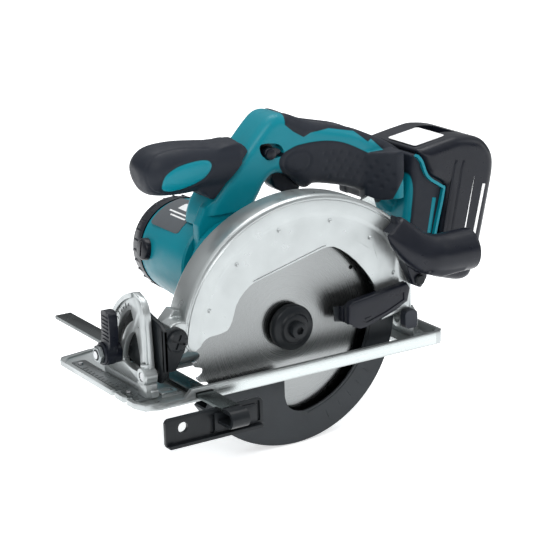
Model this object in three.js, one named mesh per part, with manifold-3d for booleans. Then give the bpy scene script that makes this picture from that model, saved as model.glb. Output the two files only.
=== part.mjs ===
// Cordless circular saw with a 165 mm blade, left-hand blade, side motor and slide-on battery.
// Millimetres. +X points to the rear (battery end), -Y to the blade side, +Z up.
// The origin lies on the sole of the base plate, under the blade's axis, in the middle of the
// sole's wide part. All pieces are drawn about the blade's centre, in a nested group.
import * as THREE from 'three';
import { mergeVertices } from 'three/addons/utils/BufferGeometryUtils.js';
import Module from 'manifold-3d';

const wasm = await Module();
wasm.setup();

// ---------------------------------------------------------------- driving dimensions
const AXIS_HEIGHT = 31.5;          // blade axis above the sole
const BLADE_OFFSET = 77;           // blade plane to the middle of the sole's wide part
const SOLE = -AXIS_HEIGHT;         // sole plane, from the blade's axis
const GAP = 0.35;                  // running and fitting clearance

const BLADE_RADIUS = 82.5;
const BLADE_HALF_THICKNESS = 0.8;
const BLADE_TEETH = 40;
const BORE_RADIUS = 10;

const FLOOR_TOP = SOLE + 3;        // base plate floor
const RIM_TOP = SOLE + 10;         // top of the base's side rails
const BASE = { x0: -137.5, x1: 124.5, y0: -28, y1: 112 };

const TILT_Y = -3.9;               // bevel hinge line, parallel to X
const TILT_Z = -12.9;
const TILT_RANGE = 50;             // degrees
const BEVEL_BOLT_RADIUS = 44.5;    // clamp bolt's distance from the bevel hinge line
const BEVEL_BOLT_ANGLE = 9;        // its direction at rest, degrees above +Y

const DEPTH_X = -103;              // cutting depth hinge line, parallel to Y
const DEPTH_Z = 13;
const DEPTH_RANGE = 22;            // degrees
const DEPTH_ARC_RADIUS = 195;      // clamp bolt's distance from the depth hinge line
const DEPTH_BOLT_ANGLE = -5;       // its direction at rest, degrees above +X

const GUARD_NEAR = -13;            // near face of the blade case
const GUARD_FAR = 12;              // far face of the blade case
const LOWER_RADIUS = 90.7;         // outer radius of the swinging guard
const LOWER_NEAR = -8.7;
const LOWER_FAR = 8.7;

const MOTOR = { x: -22, z: 40 };   // motor axis, parallel to Y
const MOTOR_RADIUS = 38;
const GEARBOX_END = 38;            // where the gear housing meets the motor housing
const COLLAR_END = 47;             // the handle's collar around the front of the motor
const MOTOR_END = 114;
const CAP_END = 141;
const SHAFT_LOCK = { x: 14, z: 12 };

const GRIP_Y = 54;                 // middle plane of the handle and battery
const GRIP_HALF = 18;
const BATTERY_LEAN = 10;           // degrees, top towards the rear
const BATTERY_HALF = 37.5;

// ---------------------------------------------------------------- materials
const finish = (color, roughness, metalness) =>
  () => new THREE.MeshStandardMaterial({ color, roughness, metalness });
const TEAL = finish(0x0b8092, 0.42, 0);
const BLACK = finish(0x24272c, 0.5, 0);
const RUBBER = finish(0x3c4148, 0.8, 0);
const CAST = finish(0xc9cfce, 0.42, 0.7);
const ALUMINIUM = finish(0xbfc5c5, 0.36, 0.8);
const STEEL = finish(0x9aa0a2, 0.3, 0.95);
const DARK_STEEL = finish(0x2b2f33, 0.45, 0.7);
const CHROME = finish(0xd8dcde, 0.12, 1);
const COPPER = finish(0xa8623a, 0.35, 0.9);
const BRASS = finish(0xb9974e, 0.35, 0.9);
const GREY_LABEL = finish(0x5f6469, 0.5, 0.1);

// ---------------------------------------------------------------- solids
const radians = (degrees) => degrees * Math.PI / 180;
const polar = (radius, degrees, x = 0, z = 0) =>
  [x + radius * Math.cos(radians(degrees)), z + radius * Math.sin(radians(degrees))];

function solid(geometry) {
  const bare = geometry.clone();
  bare.deleteAttribute('normal');
  bare.deleteAttribute('uv');
  const merged = mergeVertices(bare, 1e-4);
  return new wasm.Manifold(new wasm.Mesh({
    numProp: 3,
    vertProperties: new Float32Array(merged.attributes.position.array),
    triVerts: new Uint32Array(merged.index.array),
  }));
}

function surface(manifold) {
  const mesh = manifold.getMesh();
  const geometry = new THREE.BufferGeometry();
  geometry.setAttribute('position', new THREE.BufferAttribute(new Float32Array(mesh.vertProperties), 3));
  geometry.setIndex(new THREE.BufferAttribute(new Uint32Array(mesh.triVerts), 1));
  geometry.computeVertexNormals();
  return geometry;
}

const join = (first, ...others) => others.reduce((sum, next) => sum.add(next), first);
const cut = (first, ...tools) => tools.reduce((rest, tool) => rest.subtract(tool), first);
const common = (first, second) => first.intersect(second);

function outline(points) {
  const shape = new THREE.Shape();
  points.forEach(([a, b], i) => (i ? shape.lineTo(a, b) : shape.moveTo(a, b)));
  shape.closePath();
  return shape;
}

// Points on a round stretch, from one direction to another (degrees).
function arc(radius, from, to, steps, x = 0, z = 0) {
  const points = [];
  for (let i = 0; i <= steps; i += 1) {
    points.push(polar(radius, from + (to - from) * i / steps, x, z));
  }
  return points;
}

const toY = new THREE.Matrix4().set(1, 0, 0, 0, 0, 0, -1, 0, 0, 1, 0, 0, 0, 0, 0, 1);
const toX = new THREE.Matrix4().set(0, 0, 1, 0, 1, 0, 0, 0, 0, 1, 0, 0, 0, 0, 0, 1);

function extrusion(shape, depth, bevel, steps) {
  return new THREE.ExtrudeGeometry(shape, {
    depth: depth - 2 * bevel,
    bevelEnabled: bevel > 0,
    bevelThickness: bevel,
    bevelSize: bevel,
    bevelOffset: -bevel,
    bevelSegments: steps,
    curveSegments: 12,
  }).translate(0, 0, bevel);
}

// A plate whose outline lies in X-Z, between two Y planes.
function plateY(points, y0, y1, bevel = 0, steps = 1) {
  const shape = Array.isArray(points) ? outline(points) : points;
  return solid(extrusion(shape, y1 - y0, bevel, steps).applyMatrix4(toY).translate(0, y1, 0));
}

// A plate whose outline lies in Y-Z, between two X planes.
function plateX(points, x0, x1, bevel = 0, steps = 1) {
  return solid(extrusion(outline(points), x1 - x0, bevel, steps).applyMatrix4(toX).translate(x0, 0, 0));
}

// A plate whose outline lies in X-Y, between two Z planes.
function plateZ(points, z0, z1, bevel = 0, steps = 1) {
  return solid(extrusion(outline(points), z1 - z0, bevel, steps).translate(0, 0, z0));
}

function box(x0, x1, y0, y1, z0, z1) {
  const geometry = new THREE.BoxGeometry(x1 - x0, y1 - y0, z1 - z0);
  return solid(geometry.translate((x0 + x1) / 2, (y0 + y1) / 2, (z0 + z1) / 2));
}

const rectangle = (a0, a1, b0, b1) => [[a0, b0], [a1, b0], [a1, b1], [a0, b1]];

function roundedRectangle(a0, a1, b0, b1, r, steps = 3) {
  return [
    ...arc(r, -90, 0, steps, a1 - r, b0 + r),
    ...arc(r, 0, 90, steps, a1 - r, b1 - r),
    ...arc(r, 90, 180, steps, a0 + r, b1 - r),
    ...arc(r, 180, 270, steps, a0 + r, b0 + r),
  ];
}

// A turned piece about an axis parallel to Y; the profile is a list of [radius, y].
function turned(profile, x = 0, z = 0, sides = 24) {
  const points = profile.map(([r, y]) => new THREE.Vector2(r, y));
  return solid(new THREE.LatheGeometry(points, sides).translate(x, 0, z));
}

const rod = (radius, y0, y1, x = 0, z = 0, sides = 20) =>
  turned([[0, y0], [radius, y0], [radius, y1], [0, y1]], x, z, sides);

const ring = (inner, outer, y0, y1, x = 0, z = 0, sides = 24) =>
  turned([[inner, y0], [outer, y0], [outer, y1], [inner, y1], [inner, y0]], x, z, sides);

// A round bar parallel to X or to Z.
function rodX(radius, x0, x1, y, z, sides = 24) {
  const geometry = new THREE.CylinderGeometry(radius, radius, x1 - x0, sides).rotateZ(Math.PI / 2);
  return solid(geometry.translate((x0 + x1) / 2, y, z));
}

function rodZ(radius, z0, z1, x, y, sides = 24) {
  const geometry = new THREE.CylinderGeometry(radius, radius, z1 - z0, sides).rotateX(Math.PI / 2);
  return solid(geometry.translate(x, y, (z0 + z1) / 2));
}

// A body of oval sections along a curve in a vertical plane. Each station is
// { x, y, z, half, tall, square }: centre, half width in Y, half height, and corner fullness.
function loft(stations, rings, sides) {
  const path = new THREE.CatmullRomCurve3(stations.map((s) => new THREE.Vector3(s.x, s.y, s.z)));
  const blend = (key, t) => {
    const place = t * (stations.length - 1);
    const i = Math.min(Math.floor(place), stations.length - 2);
    const f = place - i;
    return stations[i][key] * (1 - f) + stations[i + 1][key] * f;
  };
  const geometry = new THREE.CylinderGeometry(1, 1, 1, sides, rings);
  const position = geometry.attributes.position;
  for (let i = 0; i < position.count; i += 1) {
    const t = Math.min(1, Math.max(0, position.getY(i) + 0.5));
    const radius = Math.hypot(position.getX(i), position.getZ(i));
    const angle = Math.atan2(position.getZ(i), position.getX(i));
    const power = 2 / blend('square', t);
    const fullness = (value) => Math.sign(value) * Math.abs(value) ** power;
    const across = radius * blend('half', t) * fullness(Math.cos(angle));
    const up = radius * blend('tall', t) * fullness(Math.sin(angle));
    const centre = path.getPoint(t);
    const along = path.getTangent(t);
    const level = Math.hypot(along.x, along.z);
    position.setXYZ(i, centre.x + up * along.z / level, centre.y + across, centre.z - up * along.x / level);
  }
  return solid(geometry);
}

// A coil spring standing along Z.
function coil(radius, wire, turns, { x, y, z0, z1 }) {
  const points = [];
  const steps = Math.round(turns * 12);
  for (let i = 0; i <= steps; i += 1) {
    const [dx, dy] = polar(radius, i * 30);
    points.push(new THREE.Vector3(x + dx, y + dy, z0 + wire + (z1 - z0 - 2 * wire) * i / steps));
  }
  const tube = new THREE.TubeGeometry(new THREE.CatmullRomCurve3(points), steps, wire, 6, false);
  const ball = () => new THREE.OctahedronGeometry(wire * 1.3, 1);
  const end = (point) => solid(ball().translate(point.x, point.y, point.z));
  return join(capped(tube, steps, 6), end(points[0]), end(points[steps]));
}

// Closes both ends of a tube with a fan of triangles.
function capped(tube, steps, sides) {
  const index = Array.from(tube.index.array);
  const row = sides + 1;
  for (let i = 1; i < sides - 1; i += 1) {
    index.push(0, i, i + 1);
    index.push(steps * row, steps * row + i + 1, steps * row + i);
  }
  tube.setIndex(index);
  return solid(tube);
}

// The convex outline around several circles { x, z, r }.
function belt(circles, steps = 32) {
  const points = circles.flatMap((c) => arc(c.r, 0, 360 - 360 / steps, steps - 1, c.x, c.z));
  points.sort((a, b) => a[0] - b[0] || a[1] - b[1]);
  const turn = (o, a, b) => (a[0] - o[0]) * (b[1] - o[1]) - (a[1] - o[1]) * (b[0] - o[0]);
  const half = (list) => {
    const hull = [];
    for (const p of list) {
      while (hull.length > 1 && turn(hull[hull.length - 2], hull[hull.length - 1], p) <= 1e-6) hull.pop();
      hull.push(p);
    }
    hull.pop();
    return hull;
  };
  return [...half(points), ...half([...points].reverse())];
}

// ---------------------------------------------------------------- scene graph
const saw = new THREE.Group();
const centre = new THREE.Group();
centre.position.set(0, -BLADE_OFFSET, AXIS_HEIGHT);
saw.add(centre);

function add(name, manifold, material, parent = centre) {
  const mesh = new THREE.Mesh(surface(manifold), material());
  mesh.name = name;
  parent.add(mesh);
  return mesh;
}

// ---------------------------------------------------------------- base plate and its fittings
const BAR = { x0: -94.5, x1: -80.5, z0: FLOOR_TOP + GAP, z1: FLOOR_TOP + GAP + 3 };
const RAIL = 3.5;

function basePlate() {
  const { x0, x1, y0, y1 } = BASE;
  const edge = [
    [x0 + 14, y0], [x1 - 6, y0], [x1, y0 + 6], [x1, y1 - 8], [x1 - 8, y1], [x0 + 28, y1],
    [x0 + 4, y1 - 4], [x0, y1 - 10], [x0, y0 + 14], [x0 + 4, y0 + 4],
  ];
  const inside = [
    [x0 + 16, y0 + RAIL], [x1 - 8, y0 + RAIL], [x1 - RAIL, y0 + 8], [x1 - RAIL, y1 - 10],
    [x1 - 10, y1 - RAIL], [x0 + 29, y1 - RAIL], [x0 + 8, y1 - 8], [x0 + RAIL, y1 - 13],
    [x0 + RAIL, y0 + 16], [x0 + 7, y0 + 7],
  ];
  const frontLow = box(x0 - 1, BAR.x0 - 8, y0 - 1, y1 + 1, SOLE + 4.5, RIM_TOP + 1);
  const slope = plateY([[BAR.x0 - 8.5, SOLE + 4.5], [BAR.x0 - 3, RIM_TOP + 0.1], [BAR.x0 - 8.5, RIM_TOP + 1]],
    y0 - 1, y1 + 1);
  const bladeOpening = box(-79.8, 94, -12, 42, SOLE - 1, RIM_TOP + 1);
  const barSlot = box(BAR.x0 - GAP, BAR.x1 + GAP, y0 - 1, y1 + 1, BAR.z0 - GAP + 0.05, BAR.z1 + 0.8);
  const sight = (y, half) => plateZ(
    [[x0 - 1, y - half], [x0 + 9, y - 1], [x0 + 9, y + 1], [x0 - 1, y + half]],
    SOLE - 1, RIM_TOP + 1);
  return cut(plateZ(edge, SOLE, RIM_TOP), plateZ(inside, FLOOR_TOP, RIM_TOP + 1), frontLow, slope,
    bladeOpening, barSlot, sight(-1, 3.5), sight(17, 3.5));
}
add('base_plate', basePlate(), CAST);

const SIGHT = { x0: BASE.x0 + 4.2, x1: BASE.x0 + 15.5 };
add('sight_plate', cut(
  plateZ(rectangle(SIGHT.x0, SIGHT.x1, -11.5, 92), FLOOR_TOP + GAP, FLOOR_TOP + GAP + 1.2),
  box(SIGHT.x0 + 7, SIGHT.x1 + 1, -12, 4, FLOOR_TOP, FLOOR_TOP + 4),
), DARK_STEEL);
[8, 84].forEach((y, i) => {
  const rivet = turned([[0, 0], [2.2, 0], [1.8, 1], [0, 1.3]], 0, 0, 12);
  const mesh = add(`sight_plate_rivet_${i + 1}`, rivet, STEEL);
  mesh.rotation.x = Math.PI / 2;
  mesh.position.set(SIGHT.x0 + 4, y, FLOOR_TOP + 2 * GAP + 1.2);
});

// The quadrant stands on the base, carries the front bevel pin and guides the clamp bolt.
const QUADRANT = { x0: -120, x1: -115.5 };
function bevelQuadrant() {
  const rim = arc(60, 12, 72, 10, TILT_Y, TILT_Z);
  const plate = plateX([
    [TILT_Y - 5, FLOOR_TOP + 0.5], [58, FLOOR_TOP + 0.5], [58, -13],
    ...rim, [4, 43.6], [-2.5, 40], [-5.5, 34],
  ].map(([y, z]) => [y, z]), QUADRANT.x0, QUADRANT.x1);
  const last = BEVEL_BOLT_ANGLE + TILT_RANGE;
  const slot = plateX([
    ...arc(BEVEL_BOLT_RADIUS + 4, BEVEL_BOLT_ANGLE - 6, last + 6, 12, TILT_Y, TILT_Z),
    ...arc(BEVEL_BOLT_RADIUS - 4, last + 6, BEVEL_BOLT_ANGLE - 6, 12, TILT_Y, TILT_Z),
  ], QUADRANT.x0 - 1, QUADRANT.x1 + 1);
  const window = plateX([[7, -12], [30, -12], [31, -3], [24, 8], [16, 14], [10, 13]],
    QUADRANT.x0 - 1, QUADRANT.x1 + 1);
  const foot = plateZ(rectangle(SIGHT.x1 + GAP, QUADRANT.x1, -12, 60), FLOOR_TOP + GAP, FLOOR_TOP + 6.5);
  const boss = rodX(7, QUADRANT.x0 - 5, QUADRANT.x1, TILT_Y, TILT_Z, 20);
  const bossFoot = box(QUADRANT.x0 - 5, QUADRANT.x1, TILT_Y - 7, TILT_Y + 7, FLOOR_TOP + GAP, TILT_Z);
  const screwBoss = rodZ(4, FLOOR_TOP + 1, -4, QUADRANT.x0, TILT_Y + 1, 16);
  const pinHole = rodX(3 + GAP, QUADRANT.x0 - 9, QUADRANT.x1 + 1, TILT_Y, TILT_Z, 16);
  return cut(join(plate, foot, boss, bossFoot, screwBoss), slot, window, pinHole);
}
add('bevel_quadrant', bevelQuadrant(), CAST);
add('front_bevel_pin', rodX(3, QUADRANT.x0 - 4.5, -107.5, TILT_Y, TILT_Z, 16), STEEL);

const REAR_POST = { x0: 106, x1: 110 };
add('rear_bevel_post', cut(
  join(
    plateX([[-12, FLOOR_TOP + GAP], [20, FLOOR_TOP + GAP], [20, FLOOR_TOP + 6], [5, -8], [TILT_Y + 2, -4.5],
      [TILT_Y - 2, -4.5], [-12, -10]], REAR_POST.x0, REAR_POST.x1),
    box(REAR_POST.x0, REAR_POST.x1 + 4, -12, 20, FLOOR_TOP + GAP, FLOOR_TOP + 3.5),
  ),
  rodX(3 + GAP, REAR_POST.x0 - 1, REAR_POST.x1 + 1, TILT_Y, TILT_Z, 16),
), CAST);
add('rear_bevel_pin', rodX(3, REAR_POST.x0 - 7, REAR_POST.x1 + 1, TILT_Y, TILT_Z, 16), STEEL);

// ---------------------------------------------------------------- rip guide
const FENCE = { x0: -135.5, x1: -57, y: -55, z0: -48.5, z1: -27.5 };
function ripGuide() {
  const bar = box(BAR.x0, BAR.x1, -70, 199, BAR.z0, BAR.z1);
  const hook = plateX([
    [-68, BAR.z1], [-73, BAR.z1], ...arc(8, 110, 250, 8, -72, BAR.z1 - 8).map(([y, z]) => [y, z]),
    [-72, BAR.z1 - 16], [-55, BAR.z1 - 16], [-55, BAR.z1 - 13.4], [-72, BAR.z1 - 13.4],
    ...arc(5.4, 250, 110, 8, -72, BAR.z1 - 8), [-68, BAR.z1 - 3],
  ], BAR.x0, BAR.x1);
  const face = roundedRectangle(FENCE.x0, FENCE.x1, FENCE.z0, FENCE.z1, 3);
  const plate = plateY(face, FENCE.y - 1.5, FENCE.y + 1.5);
  const lip = box(FENCE.x0 + 2, FENCE.x1 - 2, FENCE.y - 5, FENCE.y + 1, FENCE.z0, FENCE.z0 + 2.2);
  const barGap = box(BAR.x0 - 1, BAR.x1 + 1, FENCE.y - 3, FENCE.y + 3, BAR.z0 - 1, FENCE.z1 + 6);
  const hole = rod(3.9, FENCE.y - 4, FENCE.y + 4, -121.7, -35.5, 20);
  return join(cut(plate, hole, barGap), bar, hook, lip);
}
add('rip_guide', ripGuide(), DARK_STEEL);
add('guide_clamp_screw', join(
  rodZ(3, BAR.z1 + GAP, -9.5, -87.5, 78, 16),
  rodZ(6.5, -9.6, -4, -87.5, 78, 24),
  plateX(roundedRectangle(70, 86, -4.1, 7, 4), -88.9, -86.1),
), DARK_STEEL);
// The clamp bridge spans the guide bar and holds the clamp screw's thread.
add('guide_clamp_bridge', cut(
  box(-99, -76, 71, 85, FLOOR_TOP + 0.35, -14),
  box(BAR.x0 - GAP, BAR.x1 + GAP, 70, 86, FLOOR_TOP, BAR.z1 + 2),
  rodZ(3 + GAP, FLOOR_TOP, -13, -87.5, 78, 16),
), CAST);

// ---------------------------------------------------------------- tilting frame
const bevelBolt = polar(BEVEL_BOLT_RADIUS, BEVEL_BOLT_ANGLE, TILT_Y, TILT_Z);
const EAR = { near0: -18, near1: -14.3, far0: 40, far1: 43.5 };
function frontBracket() {
  const back = plateX([
    [-18, -9], [-9, -19], [2, -19], ...arc(54, 4, 62, 8, TILT_Y, TILT_Z), [8, 30], [-18, 24],
  ], -113, -109.5);
  const earOutline = [[-113, -9], [-104, -9], ...arc(9.5, -50, 90, 6, DEPTH_X, DEPTH_Z), [-113, 22]];
  const near = plateY(earOutline, EAR.near0, EAR.near1);
  const far = plateY([[-113, 0], [-104, 2], ...arc(11, -60, 90, 6, DEPTH_X, DEPTH_Z), [-113, 24]],
    EAR.far0, EAR.far1);
  const pinHole = rodX(3 + GAP, -114, -108, TILT_Y, TILT_Z, 16);
  const boltHole = rod(4 + GAP, -20, 45, DEPTH_X, DEPTH_Z, 20);
  const clampHole = rodX(3 + GAP, -114, -108, bevelBolt[0], bevelBolt[1], 16);
  return cut(join(back, near, far), pinHole, boltHole, clampHole);
}
add('front_bracket', frontBracket(), DARK_STEEL);
add('depth_pivot_bolt', join(
  rod(4, -18.4, 46, DEPTH_X, DEPTH_Z, 20),
  turned([[0, -22], [6.5, -22], [8, -20.6], [8, -18.35], [0, -18.35]], DEPTH_X, DEPTH_Z, 24),
), DARK_STEEL);
add('depth_pivot_nut', cut(
  rod(7, 43.85, 49, DEPTH_X, DEPTH_Z, 6),
  rod(4 + GAP, 43, 50, DEPTH_X, DEPTH_Z, 20),
), STEEL);
add('bevel_clamp_bolt', join(
  rodX(3, -138.2, -108.5, bevelBolt[0], bevelBolt[1], 16),
  rodX(6, -109.2, -106, bevelBolt[0], bevelBolt[1], 6),
), STEEL);

// The rear bracket carries the depth guide, an arc about the depth hinge line.
const ARC_Y = { y0: 13.6, y1: 16.6 };
function depthGuide() {
  const about = (radius, angle) => polar(radius, angle, DEPTH_X, DEPTH_Z);
  const plate = plateY([
    ...arc(DEPTH_ARC_RADIUS + 8, 19, -2, 10, DEPTH_X, DEPTH_Z),
    about(DEPTH_ARC_RADIUS + 13, -4), about(DEPTH_ARC_RADIUS + 14, -9.5),
    ...arc(DEPTH_ARC_RADIUS - 8, -10, 19, 12, DEPTH_X, DEPTH_Z),
    about(DEPTH_ARC_RADIUS - 4, 20.2), about(DEPTH_ARC_RADIUS + 4, 20.2),
  ], ARC_Y.y0, ARC_Y.y1);
  const slot = plateY([
    ...arc(DEPTH_ARC_RADIUS + 3.6, DEPTH_BOLT_ANGLE - 1.2, DEPTH_BOLT_ANGLE + DEPTH_RANGE + 1.2, 14,
      DEPTH_X, DEPTH_Z),
    ...arc(DEPTH_ARC_RADIUS - 3.6, DEPTH_BOLT_ANGLE + DEPTH_RANGE + 1.2, DEPTH_BOLT_ANGLE - 1.2, 14,
      DEPTH_X, DEPTH_Z),
  ], ARC_Y.y0 - 1, ARC_Y.y1 + 1);
  const knuckle = rodX(6.5, REAR_POST.x0 - 10, REAR_POST.x0 - GAP, TILT_Y, TILT_Z, 20);
  const web = box(REAR_POST.x0 - 8, REAR_POST.x0 - 2, TILT_Y, ARC_Y.y1, -19, -14);
  const pinHole = rodX(3 + GAP, REAR_POST.x0 - 11, REAR_POST.x1, TILT_Y, TILT_Z, 16);
  return cut(join(plate, web, knuckle), slot, pinHole);
}
add('depth_guide', depthGuide(), ALUMINIUM);

// ---------------------------------------------------------------- bevel clamp lever
function bevelLever() {
  const [y, z] = bevelBolt;
  const hub = rodX(8.5, -134, -120.5, y, z, 20);
  const arm = plateX([
    [y - 8, z - 6], [y + 4, z - 7], [y + 1, z + 12], [y + 2, z + 34], [y - 9, z + 38], [y - 14, z + 35],
    [y - 15, z + 12],
  ], -133.5, -124, 1.5, 1);
  return cut(join(hub, arm), rodX(3 + GAP, -142, -120, y, z, 16));
}
add('bevel_clamp_lever', bevelLever(), BLACK);
add('bevel_clamp_nut', cut(
  rodX(7, -137.6, -134.3, bevelBolt[0], bevelBolt[1], 6),
  rodX(3 + GAP, -145, -133, bevelBolt[0], bevelBolt[1], 16),
), CHROME);

// ---------------------------------------------------------------- blade case
// The case is a volute: its radius grows from the front round to the dust outlet at the rear.
function caseRadius(degrees) {
  const sweep = Math.max(0, Math.min(1, (125 - degrees) / 90));
  return 95.8 + 18 * sweep * sweep;
}
function caseOutline(inset) {
  const points = [];
  for (let angle = 172; angle >= 28; angle -= 6) {
    points.push(polar(caseRadius(angle) - inset, angle));
  }
  return points;
}
function bladeCase() {
  const wall = 2.6;
  const rear = 105;
  const lowerEdge = [[rear, 48], [rear, -3], [60, -12], [20, -8], [-60, -8], [-92, 1]];
  const outer = [[-96, 6], ...caseOutline(0), ...lowerEdge];
  const inner = [[-94.5, -30], [-94.5, 5], ...caseOutline(wall), [rear - wall, 46], [rear - wall, -30]];
  const body = cut(
    plateY(outer, GUARD_NEAR, GUARD_FAR, 1.6, 2),
    plateY(inner, GUARD_NEAR + 2.2, GUARD_FAR - 2.6),
  );
  const window = plateY([
    [-100, -30], [-100, -5], [-86, 0], [-77, 6.5], [-58, 9.5], [-53.4, 16.2], [-49.6, 28.2], [-42.5, 36.6],
    [-38.2, 40.3], [26.7, 57.2], [35.5, 56.4], [48.5, 47.9], [61.7, 34], [70.4, 20.7], [73, 13.9], [80, -30],
  ], GUARD_NEAR - 2, GUARD_NEAR + 2.3);
  const nose = rod(24, GUARD_FAR - 4, GUARD_FAR + 1, 0, 0, 32);
  const barrelRadius = 6.1;
  const lug = common(rod(13, GUARD_NEAR + 0.5, GUARD_FAR, DEPTH_X, DEPTH_Z, 28),
    box(DEPTH_X + 1.5, DEPTH_X + 20, -20, 20, -10, 40));
  const hinge = join(
    rod(barrelRadius, GUARD_NEAR + 0.5, EAR.far0 - GAP, DEPTH_X, DEPTH_Z, 20),
    lug,
    plateY(
      [[DEPTH_X, DEPTH_Z - 5.5], [-88, -6], [-80, 2], [-86, 27], [DEPTH_X, DEPTH_Z + 5.5]],
      2, GUARD_FAR,
    ),
  );
  const hingeHole = rod(4 + GAP, -14, 42, DEPTH_X, DEPTH_Z, 20);
  const clampEar = rod(9, GUARD_FAR - 3, GUARD_FAR + 1.2, ...polar(DEPTH_ARC_RADIUS, DEPTH_BOLT_ANGLE,
    DEPTH_X, DEPTH_Z), 20);
  const clampHole = rod(3 + GAP, 0, 20, ...polar(DEPTH_ARC_RADIUS, DEPTH_BOLT_ANGLE, DEPTH_X, DEPTH_Z), 16);
  const cavity = plateY(inner, GUARD_NEAR + 2.2, GUARD_FAR - 2.6);
  return cut(join(cut(body, window), cut(hinge, cavity), clampEar), nose, hingeHole, clampHole);
}
add('blade_case', bladeCase(), CAST);

// Outer ring of the gearbox, on which the swinging guard turns.
add('bearing_retainer', join(
  ring(13.3, 23.6, 9.9, 13.5, 0, 0, 24),
  ring(13.3, 19.5, 4.5, 10, 0, 0, 24),
), ALUMINIUM);

// ---------------------------------------------------------------- dust nozzle
const NOZZLE = { x: 145, z: 40, bore: 13 };
function dustNozzle() {
  const tube = loft([
    { x: 84, y: -22, z: 58, half: 8, tall: 10, square: 2.6 },
    { x: 95, y: -26, z: 49, half: 11, tall: 13, square: 2.4 },
    { x: 108, y: -29.5, z: 42, half: 14, tall: 15.5, square: 2.1 },
    { x: 122, y: -30, z: NOZZLE.z, half: 15.5, tall: 16, square: 2 },
    { x: 135, y: -30, z: NOZZLE.z, half: 15.8, tall: 16, square: 2 },
    { x: NOZZLE.x, y: -30, z: NOZZLE.z, half: 16, tall: 16, square: 2 },
  ], 10, 20);
  const skirt = plateY([[84, 74], [92, 66], [107, 46], [112, 22], [106, 14], [98, 18], [92, 36], [82, 54]],
    -24, GUARD_NEAR - GAP);
  const bore = rodX(NOZZLE.bore, NOZZLE.x - 38, NOZZLE.x + 2, -30, NOZZLE.z, 20);
  const screwHole = rod(2.4 + GAP, -30, -10, 103, 21.5, 12);
  const leverPath = rod(98.6, -23.8, -12, 0, 0, 72);
  const clearOfCase = common(tube, box(60, 170, -60, GUARD_NEAR - GAP, 0, 100));
  return cut(join(clearOfCase, skirt), bore, screwHole, leverPath);
}
add('dust_nozzle', dustNozzle(), BLACK);
add('nozzle_screw', join(
  rod(2.4, -25, -14, 103, 21.5, 12),
  turned([[0, -26.8], [3.4, -26.8], [4.2, -25.8], [4.2, -24.35], [0, -24.35]], 103, 21.5, 16),
), STEEL);
add('guard_stop', plateY(roundedRectangle(93, 104, -17, -3, 3), -20, GUARD_NEAR - GAP), RUBBER);

// ---------------------------------------------------------------- swinging lower guard
// Directions are degrees above +X, about the blade's axis.
const GUARD_FRONT = 212;
const GUARD_REAR = 364;
function lowerGuard() {
  const sector = (inner, outer) => [
    ...arc(outer, GUARD_FRONT, GUARD_REAR, 24), ...arc(inner, GUARD_REAR, GUARD_FRONT, 24),
  ];
  const rim = plateY(sector(LOWER_RADIUS - 1.8, LOWER_RADIUS), LOWER_NEAR, LOWER_FAR);
  const nearPlate = plateY([
    ...arc(LOWER_RADIUS - 0.5, GUARD_FRONT, GUARD_REAR, 24), ...arc(67, GUARD_REAR, 276, 12),
    [0, -66.4], [-5, -65], [-8, -61.5], [-9, -57], [-9, -31], [-66, -31],
  ], LOWER_NEAR, LOWER_NEAR + 1.6);
  const lug = plateY([
    ...arc(68, -8, 4, 3), ...arc(37, 14, -4, 3),
  ], LOWER_NEAR, LOWER_NEAR + 1.6);
  const farPlate = plateY(sector(19.9, LOWER_RADIUS - 0.5), LOWER_FAR - 1.6, LOWER_FAR);
  const hub = ring(19.9, 23, LOWER_FAR - 3.4, LOWER_FAR, 0, 0, 24);
  return join(rim, nearPlate, lug, farPlate, hub);
}
add('lower_guard', lowerGuard(), DARK_STEEL);

function guardLever() {
  const stem = plateY([[40, -2], [47, -2], [47, 9], [40, 9]], -22, LOWER_NEAR - GAP);
  const flag = plateY([
    [40, 11.5], [44, 14.5], [93, 20], [96, 15], [93, 5], [72, -2], [56, -7], [50, -7.5], [44, -3], [40, -2],
  ], -23, -16.5, 1.2, 1);
  return join(stem, flag);
}
add('guard_lever', guardLever(), BLACK);

// ---------------------------------------------------------------- spindle, blade and flanges
function sawBlade() {
  const points = [];
  const step = 360 / BLADE_TEETH;
  for (let i = 0; i < BLADE_TEETH; i += 1) {
    const at = i * step;
    points.push(polar(BLADE_RADIUS, at), polar(BLADE_RADIUS - 1, at + 0.22 * step));
    points.push(polar(BLADE_RADIUS - 6.5, at + 0.42 * step), polar(BLADE_RADIUS - 6, at + 0.72 * step));
  }
  const disc = plateY(points, -BLADE_HALF_THICKNESS, BLADE_HALF_THICKNESS);
  return cut(disc, rod(BORE_RADIUS + 0.1, -2, 2, 0, 0, 24));
}
add('saw_blade', sawBlade(), STEEL);
add('inner_flange', ring(8 + GAP, 17.5, BLADE_HALF_THICKNESS + GAP, 4, 0, 0, 28), DARK_STEEL);
add('outer_flange', turned([
  [4 + GAP, -1.2], [4 + GAP, -13], [10, -13], [11.5, -10.4], [16, -10], [17.3, -8.6], [17.3, -4], [15, -1.2],
  [4 + GAP, -1.2],
], 0, 0, 28), DARK_STEEL);
add('spindle', turned([[0, -1], [8, -1], [8, 26], [4.5, 27], [4.5, 38], [0, 38]], 0, 0, 20), STEEL);
add('blade_bolt', join(
  rod(4, -19, -1.4, 0, 0, 16),
  cut(
    turned([[0, -22], [5.6, -22], [6.5, -21], [6.5, -13.3], [0, -13.3]], 0, 0, 20),
    rod(3, -23, -17, 0, 0, 6),
  ),
), DARK_STEEL);

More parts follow.
